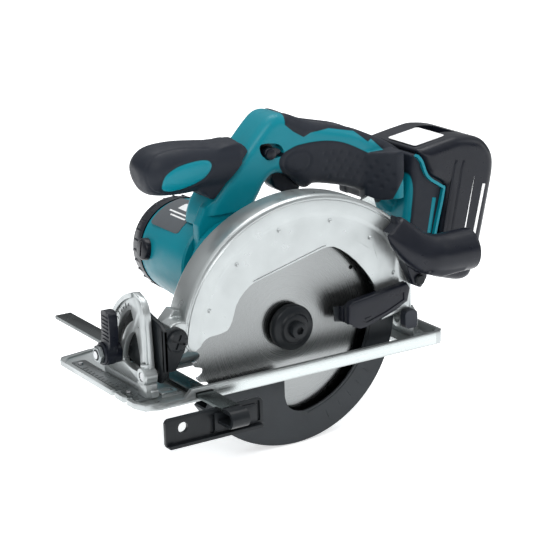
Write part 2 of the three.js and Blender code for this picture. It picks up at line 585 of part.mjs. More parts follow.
// ---------------------------------------------------------------- gear train
// Two reductions: motor pinion to idler wheel, idler pinion to spindle wheel.
function gear(teeth, module, y0, y1, x, z, bore, phase) {
  const pitch = teeth * module / 2;
  const points = [];
  const step = 360 / teeth;
  for (let i = 0; i < teeth; i += 1) {
    const at = phase + i * step;
    points.push(polar(pitch - 1.1 * module, at - 0.22 * step), polar(pitch + 0.7 * module, at - 0.1 * step));
    points.push(polar(pitch + 0.7 * module, at + 0.1 * step), polar(pitch - 1.1 * module, at + 0.22 * step));
  }
  const wheel = plateY(points.map(([a, b]) => [a + x, b + z]), y0, y1);
  return bore > 0 ? cut(wheel, rod(bore, y0 - 1, y1 + 1, x, z, 20)) : wheel;
}
const STAGE_1 = { module: 1, pinion: 12, wheel: 36 };
const STAGE_2 = { module: 1.25, pinion: 14, wheel: 24 };
const reach1 = STAGE_1.module * (STAGE_1.pinion + STAGE_1.wheel) / 2;
const reach2 = STAGE_2.module * (STAGE_2.pinion + STAGE_2.wheel) / 2;
const span = Math.hypot(MOTOR.x, MOTOR.z);
const motorAngle = Math.atan2(MOTOR.z, MOTOR.x) * 180 / Math.PI;
const along = (reach2 ** 2 - reach1 ** 2 + span ** 2) / (2 * span);
const idlerAngle = motorAngle - Math.acos(along / reach2) * 180 / Math.PI;
const [idlerX, idlerZ] = polar(reach2, idlerAngle);
const meshAngle = Math.atan2(MOTOR.z - idlerZ, MOTOR.x - idlerX) * 180 / Math.PI;
const halfTooth = (teeth) => 180 / teeth;

add('spindle_gear', gear(STAGE_2.wheel, STAGE_2.module, 16, 25, 0, 0, 8 + GAP, idlerAngle), STEEL);
add('idler_gear', join(
  gear(STAGE_1.wheel, STAGE_1.module, 27, 34, idlerX, idlerZ, 0, meshAngle),
  gear(STAGE_2.pinion, STAGE_2.module, 16, 27.5, idlerX, idlerZ, 0,
    idlerAngle + 180 + halfTooth(STAGE_2.pinion)),
), STEEL);

// ---------------------------------------------------------------- gear housing and motor
function gearHousing() {
  const circles = (extra) => [
    { x: 0, z: 0, r: 20 + extra }, { x: idlerX, z: idlerZ, r: 20.5 + extra },
    { x: MOTOR.x, z: MOTOR.z, r: MOTOR_RADIUS - 3 + extra },
  ];
  const shell = cut(
    plateY(belt(circles(3)), GUARD_FAR + GAP + 1.4, GEARBOX_END, 1, 1),
    plateY(belt(circles(0)), GUARD_FAR, GEARBOX_END - 3),
  );
  return cut(shell,
    rod(4.5 + GAP, 30, 40, 0, 0, 20),
    rod(11.4, 30, 40, MOTOR.x, MOTOR.z, 24),
    rod(5 + GAP, 30, 40, SHAFT_LOCK.x, SHAFT_LOCK.z, 20),
  );
}
add('gear_housing', cut(gearHousing(),
  box(70, 120, ARC_Y.y0 - 1, ARC_Y.y1 + 1, -60, 130)), TEAL);
add('spindle_bearing', ring(8 + GAP, 13, 5, 13, 0, 0, 28), STEEL);
add('rotor_front_bearing', ring(4 + GAP, 11, 35.4, 39.6, MOTOR.x, MOTOR.z, 28), STEEL);

add('motor_housing', turned([
  [12, COLLAR_END + GAP], [MOTOR_RADIUS, COLLAR_END + GAP], [MOTOR_RADIUS + 0.6, 60],
  [MOTOR_RADIUS, 95], [MOTOR_RADIUS - 1.5, MOTOR_END], [MOTOR_RADIUS - 4.5, MOTOR_END],
  [MOTOR_RADIUS - 3, 95], [MOTOR_RADIUS - 3, COLLAR_END + 2.5], [12, COLLAR_END + 2.5],
  [12, COLLAR_END + GAP],
], MOTOR.x, MOTOR.z, 36), TEAL);
function endCap() {
  const cup = turned([
    [0, CAP_END], [20, CAP_END], [29, CAP_END - 3], [33.5, CAP_END - 10], [36.5, MOTOR_END + 8],
    [MOTOR_RADIUS - 0.8, MOTOR_END + GAP], [MOTOR_RADIUS - 4, MOTOR_END + GAP], [33, MOTOR_END + 8],
    [30, CAP_END - 10], [24, CAP_END - 4.5], [0, CAP_END - 4.5],
  ].reverse(), MOTOR.x, MOTOR.z, 36);
  const vents = [];
  for (let i = 0; i < 6; i += 1) {
    const [x, z] = polar(15, 30 + i * 60, MOTOR.x, MOTOR.z);
    vents.push(rod(3, CAP_END - 8, CAP_END + 1, x, z, 8));
  }
  return cut(cup, ...vents, rod(2.5, CAP_END - 8, CAP_END - 1.5, MOTOR.x, MOTOR.z, 12));
}
add('motor_end_cap', endCap(), BLACK);
const CAP_SEAT = rodZ(MOTOR_RADIUS + 1, -30, 30, 0, -MOTOR_RADIUS - 0.7, 48);
const brushAngles = [172, 352];
brushAngles.forEach((angle, i) => {
  const cap = turned([[0, 0], [8.5, 0], [8.5, 2.6], [7, 4], [0, 4]], 0, 0, 18);
  const slotted = cut(cap, box(-6, 6, 2.6, 6, -0.9, 0.9), CAP_SEAT);
  const mesh = add(`brush_cap_${i + 1}`, slotted, BLACK);
  const [x, z] = polar(MOTOR_RADIUS + 0.7, angle, MOTOR.x, MOTOR.z);
  mesh.position.set(x, 104, z);
  mesh.rotation.z = -Math.PI / 2;
  mesh.rotation.order = 'YXZ';
  mesh.rotation.y = -radians(angle);
});
add('rating_plate', common(
  ring(MOTOR_RADIUS + 0.95, MOTOR_RADIUS + 1.75, 66, 108, MOTOR.x, MOTOR.z, 60),
  plateY([[MOTOR.x, MOTOR.z], ...arc(60, 92, 142, 4, MOTOR.x, MOTOR.z)], 60, 112),
), GREY_LABEL);
add('field_magnets', ring(25.5, 34.6, 59, 95, MOTOR.x, MOTOR.z, 28), DARK_STEEL);
add('armature', join(
  rod(4, 27, 132, MOTOR.x, MOTOR.z, 16),
  rod(24, 61, 94, MOTOR.x, MOTOR.z, 24),
  rod(11, 97, 108, MOTOR.x, MOTOR.z, 24),
  gear(STAGE_1.pinion, STAGE_1.module, 27.2, 34.6, MOTOR.x, MOTOR.z, 0,
    meshAngle + 180 + halfTooth(STAGE_1.pinion)),
), COPPER);
add('cooling_fan', cut(
  ring(4 + GAP, 31, 51, 57, MOTOR.x, MOTOR.z, 28),
  ...[0, 60, 120, 180, 240, 300].map((angle) => {
    const [x, z] = polar(20, angle, MOTOR.x, MOTOR.z);
    return rod(5, 50, 58, x, z, 10);
  }),
), BLACK);
add('rotor_rear_bearing', cut(
  ring(4 + GAP, 9, 124, 130, MOTOR.x, MOTOR.z, 24),
), STEEL);

// ---------------------------------------------------------------- handle
const HANDLE_TOP = [
  [-46, 62], [-44, 80], [-38, 93], [-26, 106], [-10, 123], [3, 137], [13, 146.5], [20, 149.5], [26, 149],
  [33, 146.5], [51, 138.5], [68, 134], [87, 129], [105, 121], [123, 112], [137, 102],
];
const HANDLE_UNDER = [
  [140, 96], [134, 52], [124, 56], [112, 66], [100, 77], [84, 84], [66, 89], [52, 91.5], [46, 89], [40, 92],
  [30, 101], [18, 104], [10, 99], [4, 90], [-2, 80], [-6, 62],
];
const handleBlank = plateY(
  [...HANDLE_TOP, ...HANDLE_UNDER].reverse(), GRIP_Y - GRIP_HALF, GRIP_Y + GRIP_HALF, 7, 3,
);
const motorSaddle = rod(MOTOR_RADIUS + 2.2, GEARBOX_END + GAP, 80, MOTOR.x, MOTOR.z, 36);
const housingRoof = box(-70, 30, 30, GEARBOX_END + GAP, 0, 82);

// ---------------------------------------------------------------- battery mount and battery
// Both lean back, in a group turned about Y; its own X is the battery's thickness.
const lean = new THREE.Group();
lean.rotation.y = radians(BATTERY_LEAN);
centre.add(lean);
function leaned(manifold) {
  const matrix = new THREE.Matrix4().makeRotationY(radians(BATTERY_LEAN));
  return solid(surface(manifold).applyMatrix4(matrix));
}
const MOUNT = { x0: 112, x1: 146, z0: 45, z1: 126 };
function batteryMount() {
  const plan = roundedRectangle(MOUNT.x0, MOUNT.x1, GRIP_Y - 33, GRIP_Y + 33, 9);
  const block = plateZ(plan, MOUNT.z0, MOUNT.z1, 5, 2);
  return block;
}
const mountBody = leaned(batteryMount());
const splitNear = box(-100, 220, 0, GRIP_Y - GAP / 2, -20, 220);
const splitFar = box(-100, 220, GRIP_Y + GAP / 2, 130, -20, 220);

const triggerPocket = plateY(
  [[12, 96], [44, 78], [53, 100], [49, 129], [21, 129], [16, 108]], GRIP_Y - 8, GRIP_Y + 8,
);
const switchPocket = box(52.5, 78, GRIP_Y - 8, GRIP_Y + 8, 98, 122);
const lockHole = rod(5, GRIP_Y - 20, GRIP_Y + 20, 12, 121, 16);
const POMMEL_Y = GRIP_Y - 6;

// The handle's lower part is a flat collar between the gear housing and the motor housing.
const collarOutline = [
  [-50, 76], [-50, 26], [-38, 14], [-2, 14], [8, 40], [12, 62], [2, 82], [-30, 96], [-44, 88],
];
const collar = cut(
  plateY(collarOutline, GEARBOX_END + GAP, COLLAR_END, 1.5, 1),
  rod(12, 30, 60, MOTOR.x, MOTOR.z, 24),
  rod(5 + GAP, 30, 60, SHAFT_LOCK.x, SHAFT_LOCK.z, 20),
);
const gripParts = join(cut(join(handleBlank, mountBody), motorSaddle, housingRoof), collar);

const handleSolid = cut(gripParts, triggerPocket, switchPocket, lockHole,
  leaned(box(MOUNT.x1 - 14, MOUNT.x1 + 10, GRIP_Y - 26, GRIP_Y + 26, MOUNT.z0 + 8, MOUNT.z1 + 10)));
add('handle_shell_near', common(handleSolid, splitNear), TEAL);
add('handle_shell_far', common(handleSolid, splitFar), TEAL);

add('trigger', plateY([
  [20, 95], [30, 86], [41, 84], [46, 92], [41.5, 118], [24, 118],
], GRIP_Y - 7, GRIP_Y + 7, 1.5, 1), BLACK);
add('switch_body', box(54, 77, GRIP_Y - 7, GRIP_Y + 7, 99, 121), BLACK);
add('lock_off_button', rod(4.4, GRIP_Y - 24, GRIP_Y + 24, 12, 121, 16), BLACK);
add('trigger_spring', coil(4, 0.5, 2.5, { x: 38, y: GRIP_Y, z0: 123.4, z1: 128.6 }), STEEL);

add('battery_terminal',
  box(MOUNT.x1 - 13.4, MOUNT.x1 - 8, GRIP_Y - 18, GRIP_Y + 18, MOUNT.z0 + 14, MOUNT.z0 + 40),
  BRASS, lean);
function batteryCase() {
  const side = [
    [148, 32], [174, 28.5], [187, 60], [190, 124],
    [171, 143], [150, 141], [136, 135], [136, 127.5], [148, 127.5],
  ];
  const pack = plateY(side, GRIP_Y - BATTERY_HALF, GRIP_Y + BATTERY_HALF, 3, 2);
  const rail = box(MOUNT.x1 - 6, 152, GRIP_Y - 24.5, GRIP_Y + 24.5, MOUNT.z0 + 9, MOUNT.z1 - 2);
  const buttonHole = box(145, 162, GRIP_Y - 15, GRIP_Y + 15, 118, 142);
  return cut(join(pack, rail), buttonHole);
}
add('battery_case', batteryCase(), BLACK, lean);
add('battery_button', plateY([[148.5, 119], [158, 119], [158, 136], [148.5, 131.5]],
  GRIP_Y - 14, GRIP_Y + 14, 1, 1), RUBBER, lean);

// ---------------------------------------------------------------- front grip
function frontGrip() {
  return loft([
    { x: -94.5, y: POMMEL_Y, z: 119, half: 8, tall: 8, square: 2 },
    { x: -90, y: POMMEL_Y, z: 120, half: 16, tall: 14, square: 2 },
    { x: -77, y: POMMEL_Y, z: 120.5, half: 20, tall: 18, square: 2.1 },
    { x: -62, y: POMMEL_Y, z: 120, half: 20, tall: 19, square: 2.2 },
    { x: -46, y: POMMEL_Y, z: 119, half: 18, tall: 18, square: 2.2 },
    { x: -34, y: POMMEL_Y, z: 118, half: 17, tall: 18, square: 2.3 },
    { x: -14, y: POMMEL_Y, z: 118, half: 16, tall: 17, square: 2.3 },
  ], 14, 20);
}
const handleRoom = plateY([...HANDLE_TOP.map(([x, z]) => [x - 0.5, z + 0.4]), ...HANDLE_UNDER].reverse(),
  GRIP_Y - 60, GRIP_Y + 60);
add('front_grip', cut(frontGrip(), handleRoom), RUBBER);

// ---------------------------------------------------------------- depth clamp and shaft lock
const depthBolt = polar(DEPTH_ARC_RADIUS, DEPTH_BOLT_ANGLE, DEPTH_X, DEPTH_Z);
add('depth_clamp_bolt', join(
  rod(3, 9.6, 30, ...depthBolt, 16),
), STEEL);
function depthLever() {
  const [x, z] = depthBolt;
  const hub = rod(8, ARC_Y.y1 + GAP, 28, x, z, 24);
  const arm = plateY([
    [x - 2, z - 6], [x + 30, z - 5], [x + 34, z + 1], [x + 30, z + 6], [x - 2, z + 7],
  ], 20, 28, 1.5, 1);
  return cut(join(hub, arm), rod(3 + GAP, 10, 30, x, z, 16));
}
add('depth_clamp_lever', depthLever(), BLACK);
add('shaft_lock_button', rod(5, 39, 51, SHAFT_LOCK.x, SHAFT_LOCK.z, 20), BLACK);

export default saw;
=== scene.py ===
"""Cordless circular saw: the visual model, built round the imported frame."""
import math

import bmesh
import bpy
import numpy as np
from mathutils import Matrix, Vector


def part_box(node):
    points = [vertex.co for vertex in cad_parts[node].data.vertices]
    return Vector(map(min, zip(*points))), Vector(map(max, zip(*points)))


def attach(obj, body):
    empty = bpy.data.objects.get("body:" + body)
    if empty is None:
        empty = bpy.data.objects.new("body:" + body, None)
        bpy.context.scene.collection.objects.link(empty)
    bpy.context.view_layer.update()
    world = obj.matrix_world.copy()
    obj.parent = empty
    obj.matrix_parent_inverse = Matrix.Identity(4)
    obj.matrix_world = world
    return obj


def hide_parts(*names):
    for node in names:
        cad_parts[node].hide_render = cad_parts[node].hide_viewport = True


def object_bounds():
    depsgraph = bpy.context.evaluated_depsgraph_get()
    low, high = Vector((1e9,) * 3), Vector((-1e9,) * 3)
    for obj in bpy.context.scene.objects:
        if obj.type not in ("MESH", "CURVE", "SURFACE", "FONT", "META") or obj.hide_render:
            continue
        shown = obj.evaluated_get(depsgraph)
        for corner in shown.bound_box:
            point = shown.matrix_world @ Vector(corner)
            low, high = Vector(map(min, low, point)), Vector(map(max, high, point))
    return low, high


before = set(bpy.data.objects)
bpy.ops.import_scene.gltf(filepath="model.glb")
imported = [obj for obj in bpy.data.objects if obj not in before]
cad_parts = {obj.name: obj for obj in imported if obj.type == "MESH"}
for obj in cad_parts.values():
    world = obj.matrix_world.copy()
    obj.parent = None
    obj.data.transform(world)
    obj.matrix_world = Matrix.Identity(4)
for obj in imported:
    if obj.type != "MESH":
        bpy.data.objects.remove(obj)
cad_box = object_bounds()

# Sizes are millimetres from the blade's centre: +X to the battery, -Y to the blade side, +Z up.
MM = 0.001
blade_low, blade_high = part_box("saw_blade")
CENTRE = (Vector(blade_low) + Vector(blade_high)) / 2
TO_WORLD = Matrix.Translation(CENTRE) @ Matrix.Scale(MM, 4)
LEAN = Matrix.Rotation(math.radians(10), 4, "Y")

SOLE, FLOOR_TOP, RIM_TOP = -31.5, -28.5, -21.5
BASE_X, BASE_Y = (-137.5, 124.5), (-28, 112)
TILT_Y, TILT_Z = -3.9, -12.9
DEPTH_X, DEPTH_Z = -103, 13
MOTOR_X, MOTOR_Z, MOTOR_RADIUS = -22, 40, 38
GRIP_Y, GRIP_HALF = 54, 18
CASE_NEAR, CASE_FAR = -13, 12
BAR_X = (-94.5, -80.5)


# ---------------------------------------------------------------- camera and light
def make_camera():
    """The viewpoint: low, turned to the front of the saw, slightly rolled."""
    azimuth, elevation, roll = (math.radians(a) for a in (-31.48, 16.68, -1.83))
    target = CENTRE + Vector((-8.9, 0, 40.05)) * MM
    distance = 1460 * MM
    level = Vector((math.cos(azimuth), math.sin(azimuth), 0))
    back = Vector((math.sin(azimuth) * math.cos(elevation), -math.cos(azimuth) * math.cos(elevation),
                   math.sin(elevation)))
    upright = back.cross(level)
    right = level * math.cos(roll) + upright * math.sin(roll)
    up = upright * math.cos(roll) - level * math.sin(roll)
    camera = bpy.data.objects.new("camera", bpy.data.cameras.new("camera"))
    camera.data.lens = 130.9
    camera.data.sensor_width = 36
    camera.data.clip_start = 0.05
    camera.data.clip_end = 50
    turn = Matrix((right, up, back)).transposed().to_4x4()
    camera.matrix_world = Matrix.Translation(target + back * distance) @ turn
    bpy.context.collection.objects.link(camera)
    bpy.context.scene.camera = camera


def area_light(name, place, aim, size, watts):
    """A soft rectangular lamp in metres, aimed at a point."""
    light = bpy.data.lights.new(name, "AREA")
    light.shape = "RECTANGLE"
    light.size, light.size_y = size
    light.energy = watts
    lamp = bpy.data.objects.new(name, light)
    lamp.location = Vector(place)
    lamp.rotation_euler = (Vector(place) - Vector(aim)).to_track_quat("Z", "Y").to_euler()
    bpy.context.collection.objects.link(lamp)


make_camera()
middle = (0, -0.02, 0.08)
area_light("key_softbox", (-0.95, -1.3, 1.35), middle, (0.9, 0.9), 12)
area_light("top_softbox", (0.25, 0.25, 1.7), middle, (1.4, 1.0), 15)
area_light("side_softbox", (1.6, -0.7, 0.6), middle, (0.5, 1.2), 4)
world = bpy.context.scene.world or bpy.data.worlds.new("world")
bpy.context.scene.world = world
world.use_nodes = True
background = world.node_tree.nodes["Background"]
direction = world.node_tree.nodes.new("ShaderNodeTexCoord")
split = world.node_tree.nodes.new("ShaderNodeSeparateXYZ")
sky = world.node_tree.nodes.new("ShaderNodeMapRange")
world.node_tree.links.new(direction.outputs["Generated"], split.inputs[0])
world.node_tree.links.new(split.outputs["Z"], sky.inputs["Value"])
world.node_tree.links.new(sky.outputs["Result"], background.inputs["Strength"])
for key, value in (("From Min", 0.05), ("From Max", 0.9), ("To Min", 0.12), ("To Max", 0.95)):
    sky.inputs[key].default_value = value
background.inputs["Color"].default_value = (0.96, 0.98, 1, 1)
bpy.context.scene.view_settings.view_transform = "Standard"


# ---------------------------------------------------------------- materials
class Surface:
    """A node material with shorthand for adding and joining nodes."""

    def __init__(self, name, colour, roughness, metallic=0.0, specular=0.5):
        self.material = bpy.data.materials.new(name)
        self.material.use_nodes = True
        self.tree = self.material.node_tree
        self.shader = self.tree.nodes["Principled BSDF"]
        self.set("Base Color", (*colour, 1))
        self.set("Roughness", roughness)
        self.set("Metallic", metallic)
        self.set("Specular IOR Level", specular)
        self.place = self.add("ShaderNodeTexCoord").outputs["Object"]
        self.height = None

    def set(self, socket, value):
        self.shader.inputs[socket].default_value = value

    def add(self, kind, **values):
        node = self.tree.nodes.new(kind)
        for key, value in values.items():
            setattr(node, key, value)
        return node

    def link(self, out, into):
        self.tree.links.new(out, into)

    def stretched(self, scale):
        node = self.add("ShaderNodeVectorMath", operation="MULTIPLY")
        self.link(self.place, node.inputs[0])
        node.inputs[1].default_value = scale
        return node.outputs[0]

    def noise(self, scale, detail=3.0, stretch=(1, 1, 1)):
        node = self.add("ShaderNodeTexNoise")
        self.link(self.stretched(tuple(s / MM for s in stretch)), node.inputs["Vector"])
        node.inputs["Scale"].default_value = scale
        node.inputs["Detail"].default_value = detail
        return node.outputs["Fac"]

    def spread(self, fac, low, high, start=0.3, end=0.7):
        node = self.add("ShaderNodeMapRange")
        self.link(fac, node.inputs["Value"])
        for key, value in (("From Min", start), ("From Max", end), ("To Min", low), ("To Max", high)):
            node.inputs[key].default_value = value
        return node.outputs["Result"]

    def mix(self, fac, first, second, blend="MIX"):
        node = self.add("ShaderNodeMix", data_type="RGBA", blend_type=blend)
        self.feed(node.inputs["Factor"], fac)
        self.feed(node.inputs[6], first)
        self.feed(node.inputs[7], second)
        return node.outputs[2]

    def feed(self, socket, value):
        if isinstance(value, bpy.types.NodeSocket):
            self.link(value, socket)
        elif isinstance(value, (int, float)):
            socket.default_value = value
        else:
            socket.default_value = (*value, 1) if len(value) == 3 else value

    def math(self, operation, first, second=0.0):
        node = self.add("ShaderNodeMath", operation=operation)
        self.feed(node.inputs[0], first)
        self.feed(node.inputs[1], second)
        return node.outputs[0]

    def attribute(self, name):
        return self.add("ShaderNodeAttribute", attribute_name=name).outputs["Fac"]

    def bump(self, fac, distance, strength=1.0):
        node = self.add("ShaderNodeBump")
        node.inputs["Distance"].default_value = distance * MM
        node.inputs["Strength"].default_value = strength
        self.link(fac, node.inputs["Height"])
        if self.height:
            self.link(self.height, node.inputs["Normal"])
        self.height = node.outputs["Normal"]
        self.link(self.height, self.shader.inputs["Normal"])


def grained(name, colour, roughness, metallic=0.0, grain=2.2, depth=0.03, tone=0.12, wander=0.06,
            specular=0.5):
    """Moulded or cast surface: fine grain, slow changes of tone, uneven polish."""
    surface = Surface(name, colour, roughness, metallic, specular)
    slow = surface.noise(0.035, 4.0)
    shade = tuple(c * (1 - tone) for c in colour)
    light = tuple(min(1, c * (1 + tone)) for c in colour)
    surface.link(surface.mix(surface.spread(slow, 0, 1), shade, light),
                 surface.shader.inputs["Base Color"])
    polish = surface.noise(0.12, 5.0)
    surface.link(surface.spread(polish, roughness - wander, roughness + wander),
                 surface.shader.inputs["Roughness"])
    surface.bump(surface.noise(grain, 2.0), depth)
    return surface


def brushed(name, colour, roughness, stretch, depth=0.012):
    """Metal brushed or ground along one direction."""
    surface = Surface(name, colour, roughness, 1.0)
    lines = surface.noise(1.0, 3.0, stretch)
    surface.link(surface.spread(lines, roughness - 0.07, roughness + 0.09),
                 surface.shader.inputs["Roughness"])
    surface.link(surface.mix(surface.spread(lines, 0, 1), tuple(c * 0.86 for c in colour), colour),
                 surface.shader.inputs["Base Color"])
    surface.bump(lines, depth)
    return surface


TEAL = (0.0, 0.205, 0.262)
CHARCOAL = (0.012, 0.0155, 0.024)
teal = grained("teal_moulding", TEAL, 0.34, grain=1.6, depth=0.012, tone=0.05, specular=0.24)
black = grained("black_moulding", (0.007, 0.0085, 0.014), 0.32, grain=1.4, depth=0.015, specular=0.27)
# Painted shade: a near-black, dull material for strips that stand in for the shade inside grooves.
groove_shade_black = grained("shadowed_black", (0.002, 0.002, 0.003), 0.6, grain=1.4, depth=0.01, specular=0.1)
rubber = grained("soft_rubber", CHARCOAL, 0.5, grain=1.2, depth=0.03, specular=0.4)
cast = grained("cast_aluminium", (0.44, 0.465, 0.465), 0.33, 0.8, grain=1.1, depth=0.02, tone=0.04)
painted = grained("black_painted_steel", (0.010, 0.012, 0.014), 0.34, 0.0, grain=0.9, depth=0.01,
                  specular=0.2)
guard_black = grained("dark_cast_guard", (0.022, 0.026, 0.030), 0.42, 0.0, grain=1.0, depth=0.03,
                      specular=0.3)
label_white = grained("blank_white_label", (0.95, 0.95, 0.95), 0.4, grain=0.5, depth=0.004, tone=0.01)
label_grey = grained("blank_grey_label", (0.085, 0.095, 0.105), 0.36, grain=0.6, depth=0.004, tone=0.03)
rail = brushed("drawn_aluminium", (0.60, 0.64, 0.635), 0.3, (0.03, 2.2, 2.2))
ground_steel = brushed("ground_steel", (0.56, 0.57, 0.58), 0.28, (1.6, 0.2, 1.6))
worn_steel = grained("worn_dark_steel", (0.27, 0.29, 0.295), 0.3, 0.95, grain=1.0, depth=0.02, tone=0.12)
plated = grained("dark_plated_bar", (0.085, 0.10, 0.10), 0.24, 0.9, grain=0.8, depth=0.01)
chrome = brushed("bright_chrome", (0.80, 0.82, 0.83), 0.16, (0.6, 0.6, 0.6), 0.002)
copper = brushed("copper_winding", (0.62, 0.30, 0.15), 0.3, (1.4, 0.1, 1.4))
brass = brushed("brass_contact", (0.64, 0.48, 0.2), 0.3, (1.4, 1.4, 0.2))


def make_blade_steel():
    """Steel ground in circles about the blade's axis, so light fans out from the hub."""
    surface = Surface("radially_ground_blade", (0.27, 0.28, 0.28), 0.27, 1.0)
    surface.set("Anisotropic", 0.82)
    tangent = surface.add("ShaderNodeTangent", direction_type="RADIAL", axis="Y")
    surface.link(tangent.outputs[0], surface.shader.inputs["Tangent"])
    shifted = surface.add("ShaderNodeVectorMath", operation="SUBTRACT")
    surface.link(surface.place, shifted.inputs[0])
    shifted.inputs[1].default_value = CENTRE
    length = surface.add("ShaderNodeVectorMath", operation="LENGTH")
    surface.link(shifted.outputs[0], length.inputs[0])
    rings = surface.add("ShaderNodeTexNoise", noise_dimensions="1D")
    surface.link(surface.math("MULTIPLY", length.outputs["Value"], 1 / MM), rings.inputs["W"])
    rings.inputs["Scale"].default_value = 2.4
    rings.inputs["Detail"].default_value = 4
    surface.link(surface.spread(rings.outputs["Fac"], 0.22, 0.36), surface.shader.inputs["Roughness"])
    surface.link(surface.mix(surface.spread(rings.outputs["Fac"], 0, 1), (0.24, 0.25, 0.25),
                             (0.31, 0.32, 0.32)), surface.shader.inputs["Base Color"])
    surface.bump(rings.outputs["Fac"], 0.006)
    return surface


blade_steel = make_blade_steel()


def make_two_tone():
    """Teal moulding and charcoal overmould, parted where the stored distance changes sign, with painted
    shade: a dark band along the parting groove.
    """
    surface = Surface("handle_two_tone", TEAL, 0.4, 0.0, 0.26)
    distance = surface.attribute("rubber_distance")
    is_rubber = surface.spread(distance, 1, 0, -0.12, 0.12)
    slow = surface.noise(0.035, 4.0)
    body = surface.mix(surface.spread(slow, 0, 1), tuple(c * 0.95 for c in TEAL), TEAL)
    soft = surface.mix(surface.spread(slow, 0, 1), tuple(c * 0.85 for c in CHARCOAL), CHARCOAL)
    # Painted shade: a near-black band where the stored distance is near zero, standing in for the shade
    # in the parting groove.
    line = surface.spread(surface.math("ABSOLUTE", distance), 0.35, 1, 0.15, 0.55)
    colour = surface.mix(is_rubber, body, soft)
    surface.link(surface.mix(line, (0.004, 0.012, 0.016), colour), surface.shader.inputs["Base Color"])
    polish = surface.noise(0.15, 4.0)
    teal_polish = surface.spread(polish, 0.30, 0.40)
    rubber_polish = surface.spread(polish, 0.46, 0.58)
    blend = surface.add("ShaderNodeMix", data_type="FLOAT")
    surface.feed(blend.inputs["Factor"], is_rubber)
    surface.feed(blend.inputs["A"], teal_polish)
    surface.feed(blend.inputs["B"], rubber_polish)
    surface.link(blend.outputs["Result"], surface.shader.inputs["Roughness"])
    surface.bump(surface.math("MULTIPLY", surface.noise(1.5, 2.0), surface.math("ADD", is_rubber, 0.3)),
                 0.02)
    return surface


two_tone = make_two_tone()


# ---------------------------------------------------------------- mesh tools
def polar(radius, degrees, x=0.0, z=0.0):
    """A point in X-Z at an angle from +X."""
    return (x + radius * math.cos(math.radians(degrees)), z + radius * math.sin(math.radians(degrees)))


def arc(radius, start, end, steps, x=0.0, z=0.0):
    return [polar(radius, start + (end - start) * i / steps, x, z) for i in range(steps + 1)]


def smooth_line(points, steps=5, closed=False):
    """Catmull-Rom curve through the points."""
    count = len(points)
    result = []
    for i in range(count if closed else count - 1):
        near = [points[(i + k) % count] if closed else points[min(max(i + k, 0), count - 1)]
                for k in (-1, 0, 1, 2)]
        a, b, c, d = (np.array(p, float) for p in near)
        for step in range(steps):
            t = step / steps
            result.append(tuple(0.5 * (2 * b + (c - a) * t + (2 * a - 5 * b + 4 * c - d) * t * t
                                       + (3 * b - a - 3 * c + d) * t ** 3)))
    if not closed:
        result.append(tuple(points[-1]))
    return result


def rounded(a0, a1, b0, b1, radius, steps=5):
    """A rectangle with rounded corners."""
    corners = ((a1 - radius, b0 + radius, -90), (a1 - radius, b1 - radius, 0),
               (a0 + radius, b1 - radius, 90), (a0 + radius, b0 + radius, 180))
    return [p for a, b, start in corners for p in arc(radius, start, start + 90, steps, a, b)]


def new_object(bm):
    """Turns a bmesh into an object with its faces pointing outwards."""
    mesh = bpy.data.meshes.new("part")
    bmesh.ops.recalc_face_normals(bm, faces=bm.faces)
    bm.to_mesh(mesh)
    bm.free()
    obj = bpy.data.objects.new("part", mesh)
    bpy.context.collection.objects.link(obj)
    return obj


def prism(points, low, high, axis="y", bevel=0.0, segments=3):
    """An outline in the plane across the axis, between two planes, with rounded rims."""
    if axis == "y":
        def at(p, d):
            return (p[0], d, p[1])
    elif axis == "x":
        def at(p, d):
            return (d, p[0], p[1])
    else:
        def at(p, d):
            return (p[0], p[1], d)
    bm = bmesh.new()
    first = [bm.verts.new(at(p, low)) for p in points]
    second = [bm.verts.new(at(p, high)) for p in points]
    caps = [bm.faces.new(first), bm.faces.new(second)]
    count = len(points)
    for i in range(count):
        j = (i + 1) % count
        bm.faces.new((first[i], first[j], second[j], second[i]))
    if bevel:
        rims = {edge for cap in caps for edge in cap.edges}
        bmesh.ops.bevel(bm, geom=list(rims), offset=bevel, segments=segments, profile=0.5,
                        affect="EDGES", clamp_overlap=True)
    return new_object(bm)


def strip_along(points, width, y0, y1, bevel=0.2):
    """A thin band of constant width along an open line in X-Z."""
    line = [Vector(p) for p in points]
    left, right = [], []
    for i, p in enumerate(line):
        along = (line[min(i + 1, len(line) - 1)] - line[max(i - 1, 0)]).normalized()
        side = Vector((-along.y, along.x)) * width / 2
        left.append(tuple(p + side))
        right.append(tuple(p - side))
    return prism(left + right[::-1], y0, y1, "y", bevel, 2)


def block(x0, x1, y0, y1, z0, z1, bevel=0.0, segments=3):
    bm = bmesh.new()
    bmesh.ops.create_cube(bm, size=1)
    bmesh.ops.scale(bm, vec=(x1 - x0, y1 - y0, z1 - z0), verts=bm.verts)
    bmesh.ops.translate(bm, vec=((x0 + x1) / 2, (y0 + y1) / 2, (z0 + z1) / 2), verts=bm.verts)
    if bevel:
        bmesh.ops.bevel(bm, geom=list(bm.edges), offset=bevel, segments=segments, profile=0.5,
                        affect="EDGES", clamp_overlap=True)
    return new_object(bm)


def lathe(profile, x=0.0, z=0.0, sides=64, axis="y", y=0.0):
    """A turned body: profile of (radius, place along the axis); radius 0 closes an end."""
    bm = bmesh.new()
    rings = []
    for radius, along in profile:
        if radius < 1e-6:
            rings.append([bm.verts.new(turned_point(0, 0, along, axis, x, y, z))])
            continue
        rings.append([bm.verts.new(turned_point(radius, 2 * math.pi * k / sides, along, axis, x, y, z))
                      for k in range(sides)])
    pairs = list(zip(rings, rings[1:]))
    if len(rings[0]) > 1:
        pairs.append((rings[-1], rings[0]))
    for first, second in pairs:
        for k in range(sides):
            j = (k + 1) % sides
            corners = [first[k % len(first)], first[j % len(first)], second[j % len(second)],
                       second[k % len(second)]]
            unique = list(dict.fromkeys(corners))
            if len(unique) > 2:
                bm.faces.new(unique)
    return new_object(bm)


